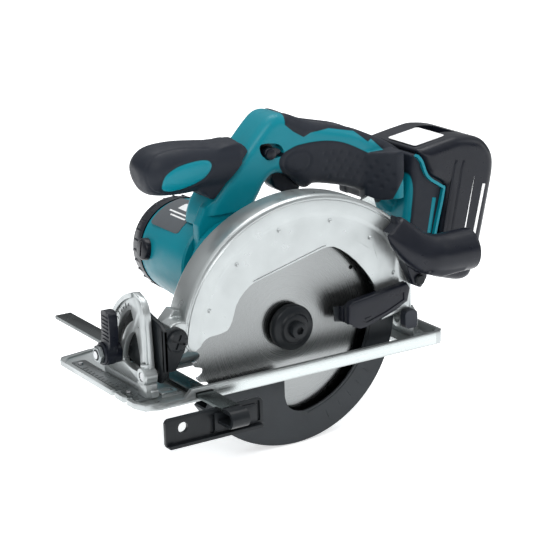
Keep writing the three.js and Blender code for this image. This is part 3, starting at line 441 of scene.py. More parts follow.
def turned_point(radius, angle, along, axis, x, y, z):
    a, b = radius * math.cos(angle), radius * math.sin(angle)
    if axis == "y":
        return (x + a, along, z + b)
    if axis == "x":
        return (along, y + a, z + b)
    return (x + a, y + b, along)


def rod(radius, low, high, x=0.0, z=0.0, sides=32, axis="y", y=0.0, ease=0.4):
    """A round bar with eased ends."""
    return lathe([(0, low), (radius - ease, low), (radius, low + ease), (radius, high - ease),
                  (radius - ease, high), (0, high)], x, z, sides, axis, y=y)


def loft(stations, steps=6, sides=40):
    """Oval sections along a curve; a station is (x, y, z, half width, half height, fullness)."""
    path = smooth_line(stations, steps)
    bm = bmesh.new()
    rings = []
    for i, s in enumerate(path):
        before, after = path[max(i - 1, 0)], path[min(i + 1, len(path) - 1)]
        along = Vector((after[0] - before[0], 0, after[2] - before[2])).normalized()
        ring = []
        for k in range(sides):
            angle = 2 * math.pi * k / sides
            c, d = math.cos(angle), math.sin(angle)
            across = s[3] * math.copysign(abs(c) ** (2 / s[5]), c)
            up = s[4] * math.copysign(abs(d) ** (2 / s[5]), d)
            ring.append(bm.verts.new((s[0] - up * along.z, s[1] + across, s[2] + up * along.x)))
        rings.append(ring)
    for first, second in zip(rings, rings[1:]):
        for k in range(sides):
            j = (k + 1) % sides
            bm.faces.new((first[k], first[j], second[j], second[k]))
    for ring in (rings[0], rings[-1]):
        bm.faces.new(ring)
    return new_object(bm)


def bake(obj):
    """Applies an object's modifiers."""
    depsgraph = bpy.context.evaluated_depsgraph_get()
    mesh = bpy.data.meshes.new_from_object(obj.evaluated_get(depsgraph))
    obj.modifiers.clear()
    obj.data = mesh
    return obj


def combine(obj, others, operation="DIFFERENCE"):
    for other in others:
        modifier = obj.modifiers.new("combine", "BOOLEAN")
        modifier.operation = operation
        modifier.solver = "EXACT"
        modifier.object = other
        bake(obj)
        bpy.data.objects.remove(other)
    return obj


def cut(obj, *cutters):
    return combine(obj, cutters)


def union(obj, *others):
    return combine(obj, others, "UNION")


def together(obj, *others):
    """Several separate bodies in one object."""
    bm = bmesh.new()
    bm.from_mesh(obj.data)
    for other in others:
        bm.from_mesh(other.data)
        bpy.data.objects.remove(other)
    bm.to_mesh(obj.data)
    bm.free()
    return obj


def soften(obj, voxel, rounds, factor=0.5):
    """Remeshes a joined body and rounds its edges, as a casting or moulding is rounded."""
    remesh = obj.modifiers.new("remesh", "REMESH")
    remesh.mode = "VOXEL"
    remesh.voxel_size = voxel
    smooth = obj.modifiers.new("smooth", "SMOOTH")
    smooth.factor = factor
    smooth.iterations = rounds
    return bake(obj)


def ease_edges(obj, width, segments=2, angle=35):
    """Bevels every edge sharper than the angle."""
    bevel = obj.modifiers.new("ease", "BEVEL")
    bevel.width = width
    bevel.segments = segments
    bevel.limit_method = "ANGLE"
    bevel.angle_limit = math.radians(angle)
    bevel.harden_normals = False
    bevel.use_clamp_overlap = True
    return bake(obj)


def moved(obj, matrix):
    obj.data.transform(matrix)
    return obj


def turned(degrees, axis, place=(0, 0, 0)):
    """A turn about an axis through a place."""
    return Matrix.Translation(place) @ Matrix.Rotation(math.radians(degrees), 4, axis)


def signed_distance(points, outline):
    """Distance to a closed outline for every point, negative inside it."""
    best = np.full(len(points), 1e9)
    inside = np.zeros(len(points), bool)
    for a, b in zip(outline, outline[1:] + outline[:1]):
        a, b = np.array(a, float), np.array(b, float)
        edge = b - a
        t = np.clip(((points - a) @ edge) / (edge @ edge + 1e-12), 0, 1)
        best = np.minimum(best, np.hypot(*(points - (a + t[:, None] * edge)).T))
        crosses = (a[1] > points[:, 1]) != (b[1] > points[:, 1])
        with np.errstate(divide="ignore", invalid="ignore"):
            at = a[0] + (points[:, 1] - a[1]) / (b[1] - a[1]) * edge[0]
        inside ^= crosses & (points[:, 0] < at)
    return np.where(inside, -best, best)


def read_mesh(obj, what="co"):
    """Vertex places or normals as rows of x, y, z."""
    rows = np.empty(len(obj.data.vertices) * 3)
    obj.data.vertices.foreach_get(what, rows)
    return rows.reshape(-1, 3)


def write_mesh(obj, places):
    obj.data.vertices.foreach_set("co", places.ravel())
    obj.data.update()


def pillow(outline, middle, half, radius, voxel):
    """A solid slab across Y whose rims are fully rounded, whatever the outline."""
    slab = prism(outline, middle - half, middle + half)
    soften(slab, voxel, 1)
    places = read_mesh(slab)
    depth = np.clip(-signed_distance(places[:, [0, 2]], outline), 0, radius)
    room = half - radius + np.sqrt(radius ** 2 - (radius - depth) ** 2)
    places[:, 1] = middle + np.clip(places[:, 1] - middle, -room, room)
    write_mesh(slab, places)
    return slab


def finish_piece(obj, name, body, surface, replaced=(), lean=False, sharp=38):
    """Puts a piece in the frame's place and units, and names, colours and mounts it."""
    obj.name = name
    obj.data.name = name
    if lean:
        obj.data.transform(LEAN)
    obj.data.transform(TO_WORLD)
    obj.data.materials.clear()
    obj.data.materials.append(surface.material)
    obj.data.polygons.foreach_set("use_smooth", [True] * len(obj.data.polygons))
    obj.data.set_sharp_from_angle(angle=math.radians(sharp))
    obj.data.update()
    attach(obj, body)
    if replaced:
        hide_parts(*replaced)
    return obj


# ---------------------------------------------------------------- base plate
def make_base():
    (x0, x1), (y0, y1) = BASE_X, BASE_Y
    edge = [(x0 + 14, y0), (x1 - 5, y0), (x1, y0 + 5), (x1, y1 - 8), (x1 - 8, y1), (x0 + 28, y1),
            (x0 + 4, y1 - 4), (x0, y1 - 10), (x0, y0 + 14), (x0 + 4, y0 + 4)]
    plate = prism(edge, SOLE, RIM_TOP, "z", 0.8, 2)
    rim = 3.5
    inside = [(x0 + 16, y0 + rim), (x1 - 8, y0 + rim), (x1 - rim, y0 + 8), (x1 - rim, y1 - 10),
              (x1 - 10, y1 - rim), (x0 + 29, y1 - rim), (x0 + 8, y1 - 8), (x0 + rim, y1 - 13),
              (x0 + rim, y0 + 16), (x0 + 7, y0 + 7)]
    ramp = [(x0 - 1, SOLE + 4.5), (BAR_X[0] - 8.5, SOLE + 4.5), (BAR_X[0] - 3, RIM_TOP + 0.1),
            (BAR_X[0] - 3, RIM_TOP + 2), (x0 - 1, RIM_TOP + 2)]
    cut(plate, prism(inside, FLOOR_TOP, RIM_TOP + 1, "z"), prism(ramp, y0 - 1, y1 + 1),
        block(-79.8, 94, -12, 42, SOLE - 1, RIM_TOP + 1),
        block(BAR_X[0] - 0.35, BAR_X[1] + 0.35, y0 - 1, y1 + 1, FLOOR_TOP + 0.05, FLOOR_TOP + 4.2))
    for y in (-1, 17):
        cut(plate, prism([(x0 - 1, y - 3.5), (x0 + 9, y - 1), (x0 + 9, y + 1), (x0 - 1, y + 3.5)],
                         SOLE - 1, RIM_TOP, "z"))
    ease_edges(plate, 0.5, 2)
    finish_piece(plate, "base_casting", "base", cast, ["base_plate"])


make_base()


def make_base_details():
    (x0, x1), y0 = BASE_X, BASE_Y[0]
    strip = block(-79, x1 - 9, y0 - 0.25, y0 + 1, SOLE + 0.9, RIM_TOP - 0.6, 0.5, 2)
    finish_piece(strip, "base_side_rail", "base", rail)
    ribs = [prism(rounded(-112, -98, -9, 2, 2), FLOOR_TOP - 0.3, FLOOR_TOP + 1.4, "z", 0.5, 2)]
    ribs[0] = cut(ribs[0], prism(rounded(-109.5, -100.5, -6.5, -0.5, 1.5), FLOOR_TOP + 0.2,
                                 FLOOR_TOP + 3, "z"))
    for x_start, x_end, y_start, y_end, height, ease in (
            (-114, -97, -13, -11.5, 1.6, 0.5), (-114, -97, 62, 64, 3, 0.5),
            (-78, 92, 44, 46.5, 4, 0.6), (-78, 92, 76, 78, 3, 0.6)):
        ribs.append(block(x_start, x_end, y_start, y_end, FLOOR_TOP - 0.3, FLOOR_TOP + height, ease, 2))
    for x in (-40, 0, 40, 80):
        ribs.append(block(x - 1, x + 1, 45, 107, FLOOR_TOP - 0.3, FLOOR_TOP + 2.4, 0.5, 2))
    finish_piece(together(*ribs), "base_floor_ribs", "base", cast)
    plate = prism(rounded(x0 + 4.2, x0 + 15.5, -11.5, 92, 1.5), FLOOR_TOP + 0.35, FLOOR_TOP + 1.55, "z",
                  0.25, 2)
    cut(plate, prism([(x0 + 2, -2.5), (x0 + 7, -1.6), (x0 + 7, -0.4), (x0 + 2, 0.5)],
                     FLOOR_TOP, FLOOR_TOP + 3, "z"),
        prism([(x0 + 2, 15.5), (x0 + 7, 16.4), (x0 + 7, 17.6), (x0 + 2, 18.5)],
              FLOOR_TOP, FLOOR_TOP + 3, "z"))
    finish_piece(plate, "sight_plate_pressing", "base", worn_steel, ["sight_plate"])
    ticks = []
    for i in range(11):
        y = 24 + i * 5
        length = 4 if i % 5 == 0 else 2.4
        ticks.append(block(x0 + 5, x0 + 5 + length, y - 0.3, y + 0.3, FLOOR_TOP + 1.5, FLOOR_TOP + 1.7,
                           0.05, 1))
    finish_piece(together(*ticks), "sight_scale", "base", painted)


make_base_details()


# ---------------------------------------------------------------- bevel quadrant, its clamp and pins
def make_quadrant():
    rim = arc(60, 12, 72, 30, TILT_Y, TILT_Z)
    outline = [(TILT_Y - 5, FLOOR_TOP + 0.5), (58, FLOOR_TOP + 0.5), (58, -13), *rim, (9, 45.5),
               (4, 43.6), (-1, 41.5), (-4.5, 37), (-5.5, 31)]
    plate = prism(outline, -120, -115.5, "x")
    slot = (arc(48.5, 3, 65, 24, TILT_Y, TILT_Z) + arc(40.5, 65, 3, 24, TILT_Y, TILT_Z))
    window = [(7, -12), (30, -12), (31, -3), (24, 8), (16, 14), (10, 13)]
    cut(plate, prism(slot, -122, -113, "x"), prism(smooth_line(window, 4, True), -122, -113, "x"))
    rib_outer = arc(60, 14, 74, 24, TILT_Y, TILT_Z) + arc(56.5, 74, 14, 24, TILT_Y, TILT_Z)
    upright = [(-5.5, FLOOR_TOP + 4), (-1.5, FLOOR_TOP + 4), (-0.8, 30), (4, 38), (9, 45.4), (4, 43.6),
               (-1, 41.5), (-4.5, 37), (-5.5, 31)]
    foot = prism(rounded(-12, 60, FLOOR_TOP + 0.35, FLOOR_TOP + 6.5, 1.5), -121.6, -115.5, "x", 0.9, 2)
    boss = lathe([(3.4, -125), (6, -125), (7, -124), (7, -115.5), (3.4, -115.5)], axis="x", y=TILT_Y,
                 z=TILT_Z, sides=32)
    boss_foot = block(-125, -115.6, TILT_Y - 6.8, TILT_Y + 6.8, FLOOR_TOP + 0.35, TILT_Z - 4.5, 1.0, 2)
    screw_boss = lathe([(1.8, -4), (3.4, -4), (4, -4.6), (4, FLOOR_TOP + 3), (1.8, FLOOR_TOP + 3)], -120,
                       sides=28, axis="z", y=TILT_Y + 1)
    ease_edges(plate, 0.6, 2)
    together(plate, prism(rib_outer, -121.3, -119.5, "x", 0.5, 2),
             prism(upright, -121.3, -119.5, "x", 0.5, 2), foot, boss, boss_foot, screw_boss)
    finish_piece(plate, "bevel_quadrant_casting", "base", cast, ["bevel_quadrant"])
    marks = []
    for i in range(11):
        turn = turned(14 + i * 5, "X", (0, TILT_Y, TILT_Z))
        tick = block(-120.25, -119.9, 51.2, 55 if i % 3 == 0 else 53.4, -0.25, 0.25, 0.05, 1)
        marks.append(moved(tick, turn))
    finish_piece(together(*marks), "bevel_scale", "base", painted)


make_quadrant()


def make_bevel_lever():
    y, z = polar(44.5, 9, TILT_Y, TILT_Z)
    side = [(y - 7, z - 6), (y - 1, z - 8.5), (y + 5, z - 6), (y + 6, z + 1), (y + 1.5, z + 10),
            (y + 0.5, z + 30), (y - 1, z + 33), (y - 8, z + 33.5), (y - 11, z + 32), (y - 12, z + 29),
            (y - 12, z + 11), (y - 9, z + 3)]
    arm = prism(smooth_line(side, 4, True), -132, -125, "x", 1.2, 3)
    hub = lathe([(3.4, -134), (7.6, -134), (8.5, -133), (8.5, -120.5), (3.4, -120.5)], axis="x", y=y,
                z=z, sides=40)
    ribs = [block(-132.7, -131.4, y - 10, y - 1, z + 11 + i * 2.9, z + 12.2 + i * 2.9, 0.4,
                  2) for i in range(7)]
    together(arm, hub, *ribs)
    finish_piece(arm, "bevel_lever_moulding", "bevel_lever", black,
                 ["bevel_clamp_lever"])
    nut = lathe([(3.4, -137.6), (6.0, -137.6), (7, -136.8), (7, -134.3), (3.4, -134.3)], axis="x", y=y,
                z=z, sides=6)
    ease_edges(nut, 0.25, 2, 20)
    cut(nut, rod(4.2, -140, -135.6, y=y, z=z, axis="x", ease=0.01))
    finish_piece(nut, "bevel_lever_nut", "bevel_lever", worn_steel, ["bevel_clamp_nut"],
                 sharp=20)


make_bevel_lever()


def make_front_bracket():
    ear = arc(9.5, -50, 90, 16, DEPTH_X, DEPTH_Z)
    back_outline = [(-18, -9), (-9, -19), (2, -19), *arc(54, 4, 62, 24, TILT_Y, TILT_Z), (8, 30),
                    (-12, 26), (-18, 22)]
    back = prism(back_outline, -113, -109.5, "x", 0.8, 2)
    near = prism([(-113, -9), (-104, -9), *ear, (-113, 22)], -18, -14.3, "y", 0.9, 3)
    far = prism([(-113, 0), (-104, 2), *ear, (-113, 24)], 40, 43.5, "y", 0.9, 3)
    ridge = block(-111, -107.2, -14, -9, -16, 18, 1.2, 2)
    together(back, near, far, ridge)
    finish_piece(back, "front_bracket_forging", "tilt_frame", painted, ["front_bracket"])
    bolt = lathe([(0, -21), (3, -21.6), (6.2, -21.4), (7.6, -20.2), (7.8, -18.35), (4, -18.3), (4, 46),
                  (0, 46)], DEPTH_X, DEPTH_Z, 48)
    cross = [block(-5.5, 5.5, -23, -20.2, -0.8, 0.8), block(-0.8, 0.8, -23, -20.2, -5.5, 5.5)]
    for cutter in cross:
        moved(cutter, turned(25, "Y", (DEPTH_X, 0, DEPTH_Z)))
    cut(bolt, *cross)
    finish_piece(bolt, "depth_pivot_screw", "tilt_frame", painted, ["depth_pivot_bolt"],
                 sharp=28)


make_front_bracket()


# ---------------------------------------------------------------- rip guide
def make_rip_guide():
    z0, z1 = FLOOR_TOP + 0.35, FLOOR_TOP + 3.35
    bar = block(*BAR_X, -66, 199, z0, z1, 0.5, 2)
    finish_piece(bar, "guide_bar", "guide", plated, ["rip_guide"])
    outer, inner, bend_y = 6.6, 3.9, -71.8
    bend_z = z1 - outer
    hook = [(-64, z1), *arc(outer, 90, 262, 20, bend_y, bend_z), (-56, bend_z - outer - 0.2),
            (-56, bend_z - inner - 0.2), *arc(inner, 262, 90, 20, bend_y, bend_z), (-64, bend_z + inner)]
    bend = prism(hook, *BAR_X, "x", 0.5, 2)
    finish_piece(bend, "guide_bend", "guide", painted)
    fence = prism(rounded(-135.5, -57, -48.5, -27.5, 2.5), -56.5, -53.5, "y", 0.7, 2)
    cut(fence, rod(3.9, -60, -50, -121.7, -35.5, 32, ease=0.01),
        prism(rounded(-100.5, -97, -45, -31, 0.8), -57, -55, "y"),
        prism(rounded(-62.5, -59.5, -44, -29, 0.8), -57, -55, "y"))
    raised = prism(rounded(-97, -62.5, -44.5, -30.5, 1.5), -57.6, -56, "y", 0.5, 2)
    lip = prism(rounded(-134.5, -58.5, -48.5, -46.2, 0.9), -60, -55, "y", 0.6, 2)
    together(fence, raised, lip)
    finish_piece(fence, "guide_fence", "guide", painted)


make_rip_guide()


# ---------------------------------------------------------------- blade case
def case_radius(degrees):
    """The case's edge, which swells from the front towards the rear."""
    sweep = max(0, min(1, (125 - degrees) / 90))
    return 95.8 + 18 * sweep * sweep


def case_outline(inset=0.0, rear=105.0):
    """The case's rim from the front, over the top, to its straight rear."""
    points = [polar(case_radius(a) - inset, a) for a in range(174, 26, -2)]
    return points + [(rear - inset, 48), (rear - inset, -3)]


def ray_reach(outline, degrees):
    """Distance from the blade's centre to the outline in one direction."""
    dx, dz = math.cos(math.radians(degrees)), math.sin(math.radians(degrees))
    reach = 0.0
    for (ax, az), (bx, bz) in zip(outline, outline[1:] + outline[:1]):
        ex, ez = bx - ax, bz - az
        det = ex * dz - ez * dx
        if abs(det) < 1e-9:
            continue
        t = (ex * az - ez * ax) / det
        s = (dx * az - dz * ax) / det
        if -1e-9 <= s <= 1 + 1e-9 and t > reach:
            reach = t
    return reach


CASE_EDGE = case_outline() + [(60, -12), (20, -8), (-60, -8), (-92, 1), (-95.5, 6)]
# The near face steps in from the rim: (distance in from the outline, y).
CASE_SECTION = [(2.6, CASE_FAR), (0.8, CASE_FAR - 0.8), (0, CASE_FAR - 2.6), (0, CASE_NEAR + 3.4),
                (0.35, CASE_NEAR + 1.9), (1.3, CASE_NEAR + 0.8), (2.6, CASE_NEAR + 0.35),
                (3.2, CASE_NEAR + 0.75), (4.0, CASE_NEAR + 0.75), (4.6, CASE_NEAR + 0.1), (6, CASE_NEAR),
                (12.5, CASE_NEAR), (14, CASE_NEAR + 0.25), (15.4, CASE_NEAR + 0.9),
                (17, CASE_NEAR + 1.05)]
WINDOW = [(-100, -30), (-100, -5), (-86, 0), (-80, 3.4), (-77, 6.5), (-73, 8.3), (-63, 9.0), (-58, 10.2),
          (-55.5, 12.6), (-53.4, 16.5), (-51.6, 21.5), (-49.6, 27.6), (-46.5, 32.2), (-42.5, 36.2),
          (-38.2, 39.6), (-34.5, 41.5), (24, 56.4), (27.5, 57), (31, 57.2), (35.5, 56.4), (42, 52.8),
          (48.5, 47.9), (55, 41.8), (61.7, 34), (66.6, 27.2), (70.4, 20.7), (73, 13.9), (80, -30)]


def make_case():
    bm = bmesh.new()
    step = 1.5
    angles = [i * step for i in range(int(360 / step))]
    reach = [ray_reach(CASE_EDGE, a) for a in angles]
    rings = []
    for inset, y in CASE_SECTION:
        ring = []
        for angle, radius in zip(angles, reach):
            x, z = polar(max(radius - inset, 1), angle)
            ring.append(bm.verts.new((x, y, z)))
        rings.append(ring)
    count = len(angles)
    for first, second in zip(rings, rings[1:]):
        for k in range(count):
            j = (k + 1) % count
            bm.faces.new((first[k], first[j], second[j], second[k]))
    bm.faces.new(rings[0])
    bm.faces.new(rings[-1])
    shell = new_object(bm)
    cavity = case_outline(2.6) + [(102.4, -30), (-93, -30)]
    cut(shell, prism(cavity, CASE_NEAR + 2.9, CASE_FAR - 2.6),
        prism(WINDOW, CASE_NEAR - 2, CASE_NEAR + 4))
    dents = []
    for x, z in ((-72, 28), (-48, 58), (-12, 77), (32, 77), (67, 58), (88, 27)):
        dents.append(lathe([(0, CASE_NEAR - 1), (1.9, CASE_NEAR - 1), (1.7, CASE_NEAR + 1.2),
                            (0.9, CASE_NEAR + 1.9), (0, CASE_NEAR + 2.1)], x, z, 20))
    cut(shell, *dents)
    cut(shell, rod(24, CASE_FAR - 4, CASE_FAR + 1, 0, 0, 64))
    finish_piece(shell, "blade_case_casting", "saw_head", cast, ["blade_case"],
                 sharp=30)


make_case()


def make_case_details():
    edge = [(-34.5, 42.6), (24, 57.5), (28, 58.3)]
    rib = strip_along(edge, 0.9, CASE_NEAR + 0.3, CASE_NEAR + 2, 0.25)
    scribe = [strip_along([(55, 58), (66, 50)], 0.35, CASE_NEAR + 0.9, CASE_NEAR + 1.6, 0.05),
              strip_along([(70, 52), (74, 40)], 0.35, CASE_NEAR + 0.9, CASE_NEAR + 1.6, 0.05)]
    finish_piece(together(rib, *scribe), "case_rib", "saw_head", cast)
    barrel = rod(7.4, CASE_NEAR + 0.3, 39.5, DEPTH_X + 1.2, DEPTH_Z, 40)
    collar = rod(12.5, CASE_NEAR + 0.6, 3, DEPTH_X + 6, DEPTH_Z - 1, 48)
    cut(collar, block(-130, -104.5, -20, 20, -20, 50))
    web = prism([(DEPTH_X, DEPTH_Z - 6), (-92, -3), (-84, 3), (-86, 27), (-94, 30),
                 (DEPTH_X, DEPTH_Z + 7)], 0, CASE_FAR)
    body = together(barrel, collar, web)
    soften(body, 0.8, 6)
    cut(body, rod(94.4, CASE_NEAR + 2.9, CASE_FAR - 2.6, 0, 0, 128, ease=0.01),
        rod(4.35, -20, 45, DEPTH_X, DEPTH_Z, 32))
    finish_piece(body, "case_hinge", "saw_head", cast)


make_case_details()


# ---------------------------------------------------------------- blade, flange and lower guard
def make_blade():
    points = []
    teeth, radius = 40, 82.5
    step = 360 / teeth
    for i in range(teeth):
        a = i * step
        points += [polar(radius, a), polar(radius - 0.7, a + 0.14 * step),
                   polar(radius - 1.6, a + 0.3 * step), polar(radius - 4.6, a + 0.42 * step),
                   polar(radius - 6.7, a + 0.55 * step), polar(radius - 7.1, a + 0.7 * step),
                   polar(radius - 6.0, a + 0.86 * step), polar(radius - 3, a + 0.95 * step)]
    disc = prism(points, -0.75, 0.75, "y")
    cut(disc, rod(10.1, -3, 3, 0, 0, 48, ease=0.01))
    for angle in (31, 121, 211, 301):
        cut(disc, rod(1.7, -3, 3, *polar(66.5, angle), 20, ease=0.01))
    finish_piece(disc, "saw_blade_disc", "spindle", blade_steel, ["saw_blade"])
    tips = []
    for i in range(teeth):
        turn = turned(-i * step, "Y")
        tips.append(moved(block(78.6, 82.45, -0.8, 0.8, -0.75, 0.75, 0.12, 1), turn))
    finish_piece(together(*tips), "carbide_tips", "spindle", ground_steel)
    flange = lathe([(4.4, -1.2), (15, -1.2), (16.6, -2.4), (17.3, -4), (17.3, -8.2), (16.9, -9.2),
                    (16, -9.9), (12.6, -10.2), (11.6, -10.7), (10.6, -12.7), (9.8, -13), (4.4, -13)],
                    sides=96)
    finish_piece(flange, "clamp_flange", "spindle", painted, ["outer_flange"])
    head = lathe([(0, -18.4), (5.2, -18.4), (6.1, -18), (6.5, -17.2), (6.5, -13.2), (4, -13), (4, -1.4),
                  (0, -1.4)], sides=48)
    cut(head, lathe([(0, -20), (3.1, -20), (3.1, -15.4), (0, -14.6)], sides=6))
    finish_piece(head, "blade_screw", "spindle", painted, ["blade_bolt"], sharp=30)


make_blade()


def make_lower_guard():
    front, rear, outer = 212, 364, 90.6
    near, far = -8.7, 8.7
    edge = arc(outer - 0.4, front, rear, 90) + arc(67, rear, 276, 40)
    edge += smooth_line([(7, -66.6), (-1, -64.4), (-6.6, -59.6), (-9, -52)], 4) + [(-9, -31), (-66, -31)]
    plate = prism(edge, near, near + 1.6, "y", 0.45, 2)
    lug = prism(arc(68, -8, 4, 8) + arc(37, 14, -4, 8), near, near + 1.6, "y", 0.3, 2)
    section = [(outer - 1.8, near + 0.4), (outer, near + 0.8), (outer, far - 0.8),
               (outer - 1.8, far - 0.4)]
    bm = bmesh.new()
    rings = []
    for i in range(91):
        a = front + (rear - front) * i / 90
        rings.append([bm.verts.new((polar(r, a)[0], y, polar(r, a)[1])) for r, y in section])
    for first, second in zip(rings, rings[1:]):
        for k in range(4):
            bm.faces.new((first[k], first[(k + 1) % 4], second[(k + 1) % 4], second[k]))
    bm.faces.new(rings[0])
    bm.faces.new(rings[-1])
    rim = new_object(bm)
    back = prism(arc(outer - 0.5, front, rear, 90) + arc(20, rear, front, 60), far - 1.6, far, "y", 0.4,
                 2)
    hub = lathe([(19.9, far - 3.4), (23, far - 3.4), (23, far), (19.9, far)], sides=72)
    ridge = prism(arc(70.2, 279, 363, 50) + arc(68.9, 363, 279, 50), near - 0.35, near + 0.4, "y", 0.2, 2)
    together(plate, lug, rim, back, hub, ridge)
    finish_piece(plate, "lower_guard_casting", "lower_guard", guard_black,
                 ["lower_guard"], sharp=32)
    marks = []
    for i, angle in enumerate((338, 331, 324, 316, 308, 300, 291)):
        turn = turned(-angle, "Y")
        marks.append(moved(block(76, 81 if i % 2 else 83, near - 0.25, near + 0.2, -0.3, 0.3, 0.08, 1),
                           turn))
    finish_piece(together(*marks), "lower_guard_marks", "lower_guard", guard_black)


make_lower_guard()


def make_guard_lever():
    side = [(40, 11.5), (44, 14.5), (93, 20.5), (96, 16), (93.5, 6), (84, 2), (72, -2), (56, -7.4),
            (50, -7.6), (44, -3), (40, -2)]
    flag = prism(side, -23, -15.5, "y", 1.5, 3)
    cut(flag, prism([(52, 8.5), (90, 14), (90, 8), (74, 1.5), (56, -3.4), (52, -2)], -24, -22.2, "y",
                    0.0))
    stem = prism([(40, -2), (47, -2), (47, 9), (40, 9)], -16, -9, "y", 0.5, 2)
    dash = strip_along([(55, -0.6), (60, 0.2)], 0.9, -22.7, -21.8, 0.15)
    together(flag, stem, dash)
    finish_piece(flag, "guard_lever_moulding", "lower_guard", black, ["guard_lever"])


make_guard_lever()


# ---------------------------------------------------------------- dust nozzle
def make_nozzle():
    tube = loft([(82, -20, 66, 6, 10, 2.8), (88, -23, 58, 9, 12, 2.6), (97, -26.5, 48.5, 12, 13.5, 2.4),
                 (107, -29.5, 42.3, 14.4, 15, 2.2), (118, -30, 40.2, 15.4, 15.6, 2),
                 (132, -30, 40, 15.8, 15.9, 2), (145, -30, 40, 16, 16, 2)], 5, 48)
    skirt = prism([(84, 74), (92, 66), (107, 46), (112, 22), (106, 14), (98, 18), (92, 36), (82, 54)],
                  -24, CASE_NEAR - 0.35, "y", 2.5, 3)
    under = prism([(98, 30), (112, 25.5), (134, 26.5), (138, 31), (108, 36)], -42, -20, "y", 3, 3)
    cut(tube, block(60, 170, CASE_NEAR - 0.35, 20, 0, 100))
    together(tube, skirt, under)
    soften(tube, 0.9, 6)
    cut(tube, rod(13, 107, 150, 0, 40, 64, "x", -30, 0.01), rod(98.6, -23.8, -12, 0, 0, 128, ease=0.01),
        rod(2.75, -30, -10, 103, 21.5, 20, ease=0.01))
    finish_piece(tube, "dust_nozzle_moulding", "saw_head", black, ["dust_nozzle"],
                 sharp=50)
    lip = lathe([(13.1, 143.4), (15.6, 143.4), (16, 144), (15.9, 145), (13.4, 145)], axis="x", y=-30,
                z=40, sides=64)
    finish_piece(lip, "dust_nozzle_lip", "saw_head", black)


make_nozzle()


# ---------------------------------------------------------------- handle
HANDLE_TOP = [(-46, 62), (-44, 80), (-38, 93), (-26, 106), (-10, 123), (3, 137), (13, 146.3),
              (20, 149.2), (26, 148.6), (33, 146.5), (51, 138.5), (68, 134), (87, 129), (105, 121),
              (123, 112), (137, 102)]
HANDLE_UNDER = [(140, 96), (134, 52), (124, 56), (112, 66), (100, 77), (84, 84), (66, 89), (52, 91.5),
                (46, 89), (40, 92), (30, 101), (18, 104), (10, 99), (4, 90), (-2, 80), (-6, 62)]
SIDE_GRIP = [(20, 114), (23, 119), (30, 122), (39, 124), (58, 124), (77, 120), (97, 110), (114, 99),
             (122, 90), (150, 95), (150, 40), (110, 50), (80, 76), (46, 84), (36, 93), (27, 102),
             (21, 109)]
TOP_GRIP = [(29, 165), (27, 148), (26, 141), (33, 135), (42, 129.5), (48, 132), (66, 132.5), (89, 127),
            (100, 117.5), (104, 119), (117, 106), (123, 90), (160, 80), (180, 120), (120, 165)]
LEAF = [(127, 93), (131, 82), (129.5, 64), (126, 48), (118, 57), (112, 65), (116.5, 79)]


def rubber_distance(places):
    """Distance to the edge of the soft overmould, negative on it, with the teal leaf left out."""
    flat = places[:, [0, 2]]
    grips = np.minimum(signed_distance(flat, smooth_line(SIDE_GRIP, 4, True)),
                       signed_distance(flat, TOP_GRIP))
    grips = np.minimum(grips, 121 - flat[:, 0])
    grips = np.minimum(grips, GRIP_HALF + 1.5 - np.abs(places[:, 1] - GRIP_Y))
    leaf = signed_distance(flat, smooth_line(LEAF, 5, True))
    return np.maximum(grips, -leaf)


def handle_solid():
    """The whole handle, hollowed for the trigger, switch, lock-off pin, motor and battery rail."""
    profile = smooth_line(HANDLE_TOP, 3) + smooth_line(HANDLE_UNDER, 3)
    body = pillow(profile, GRIP_Y, GRIP_HALF, 8, 1.4)
    mount = prism(rounded(112, 146, GRIP_Y - 33, GRIP_Y + 33, 5), 45, 126, "z")
    moved(mount, LEAN)
    collar = prism([(-50, 76), (-50, 26), (-38, 14), (-2, 14), (8, 40), (12, 62), (2, 82), (-30, 96),
                    (-44, 88)], 38.35, 47)
    flare = prism([(97, 35.5), (117, 21.4), (123, 21.4), (123, 86.6), (117, 86.6), (97, 72.5)], 72, 109,
                  "z")
    together(body, mount, collar, flare)
    soften(body, 1.1, 5)
    slot = moved(block(132, 156, GRIP_Y - 26, GRIP_Y + 26, 53, 136), LEAN)
    cut(body, rod(MOTOR_RADIUS + 2.2, 47.1, 80, MOTOR_X, MOTOR_Z, 72, ease=0.01),
        block(-70, 30, 20, 38.35, 0, 82), slot,
        prism([(12, 96), (44, 78), (53, 100), (49, 129), (21, 129), (16, 108)], 46, 62),
        rod(5, 30, 80, 12, 121, 24, ease=0.01),
        prism(smooth_line([(5, 129), (19, 127.5), (24, 122), (22, 117.5), (9, 118), (4, 123)], 4, True),
              34, 43))
    return body


def dimple_lift(places, normals):
    """Two fields of small round dimples on the sides of the grip."""
    lift = np.zeros(len(places))
    for row in range(4):
        for column in range(8):
            x = 60 + column * 7.2 + (row % 2) * 3.6
            z = 114 - row * 6 - max(0, x - 74) * 0.42
            near = np.hypot(places[:, 0] - x, places[:, 2] - z)
            lift -= 0.8 * np.exp(-(near / 1.25) ** 2)
    return lift * (np.abs(normals[:, 1]) > 0.8)


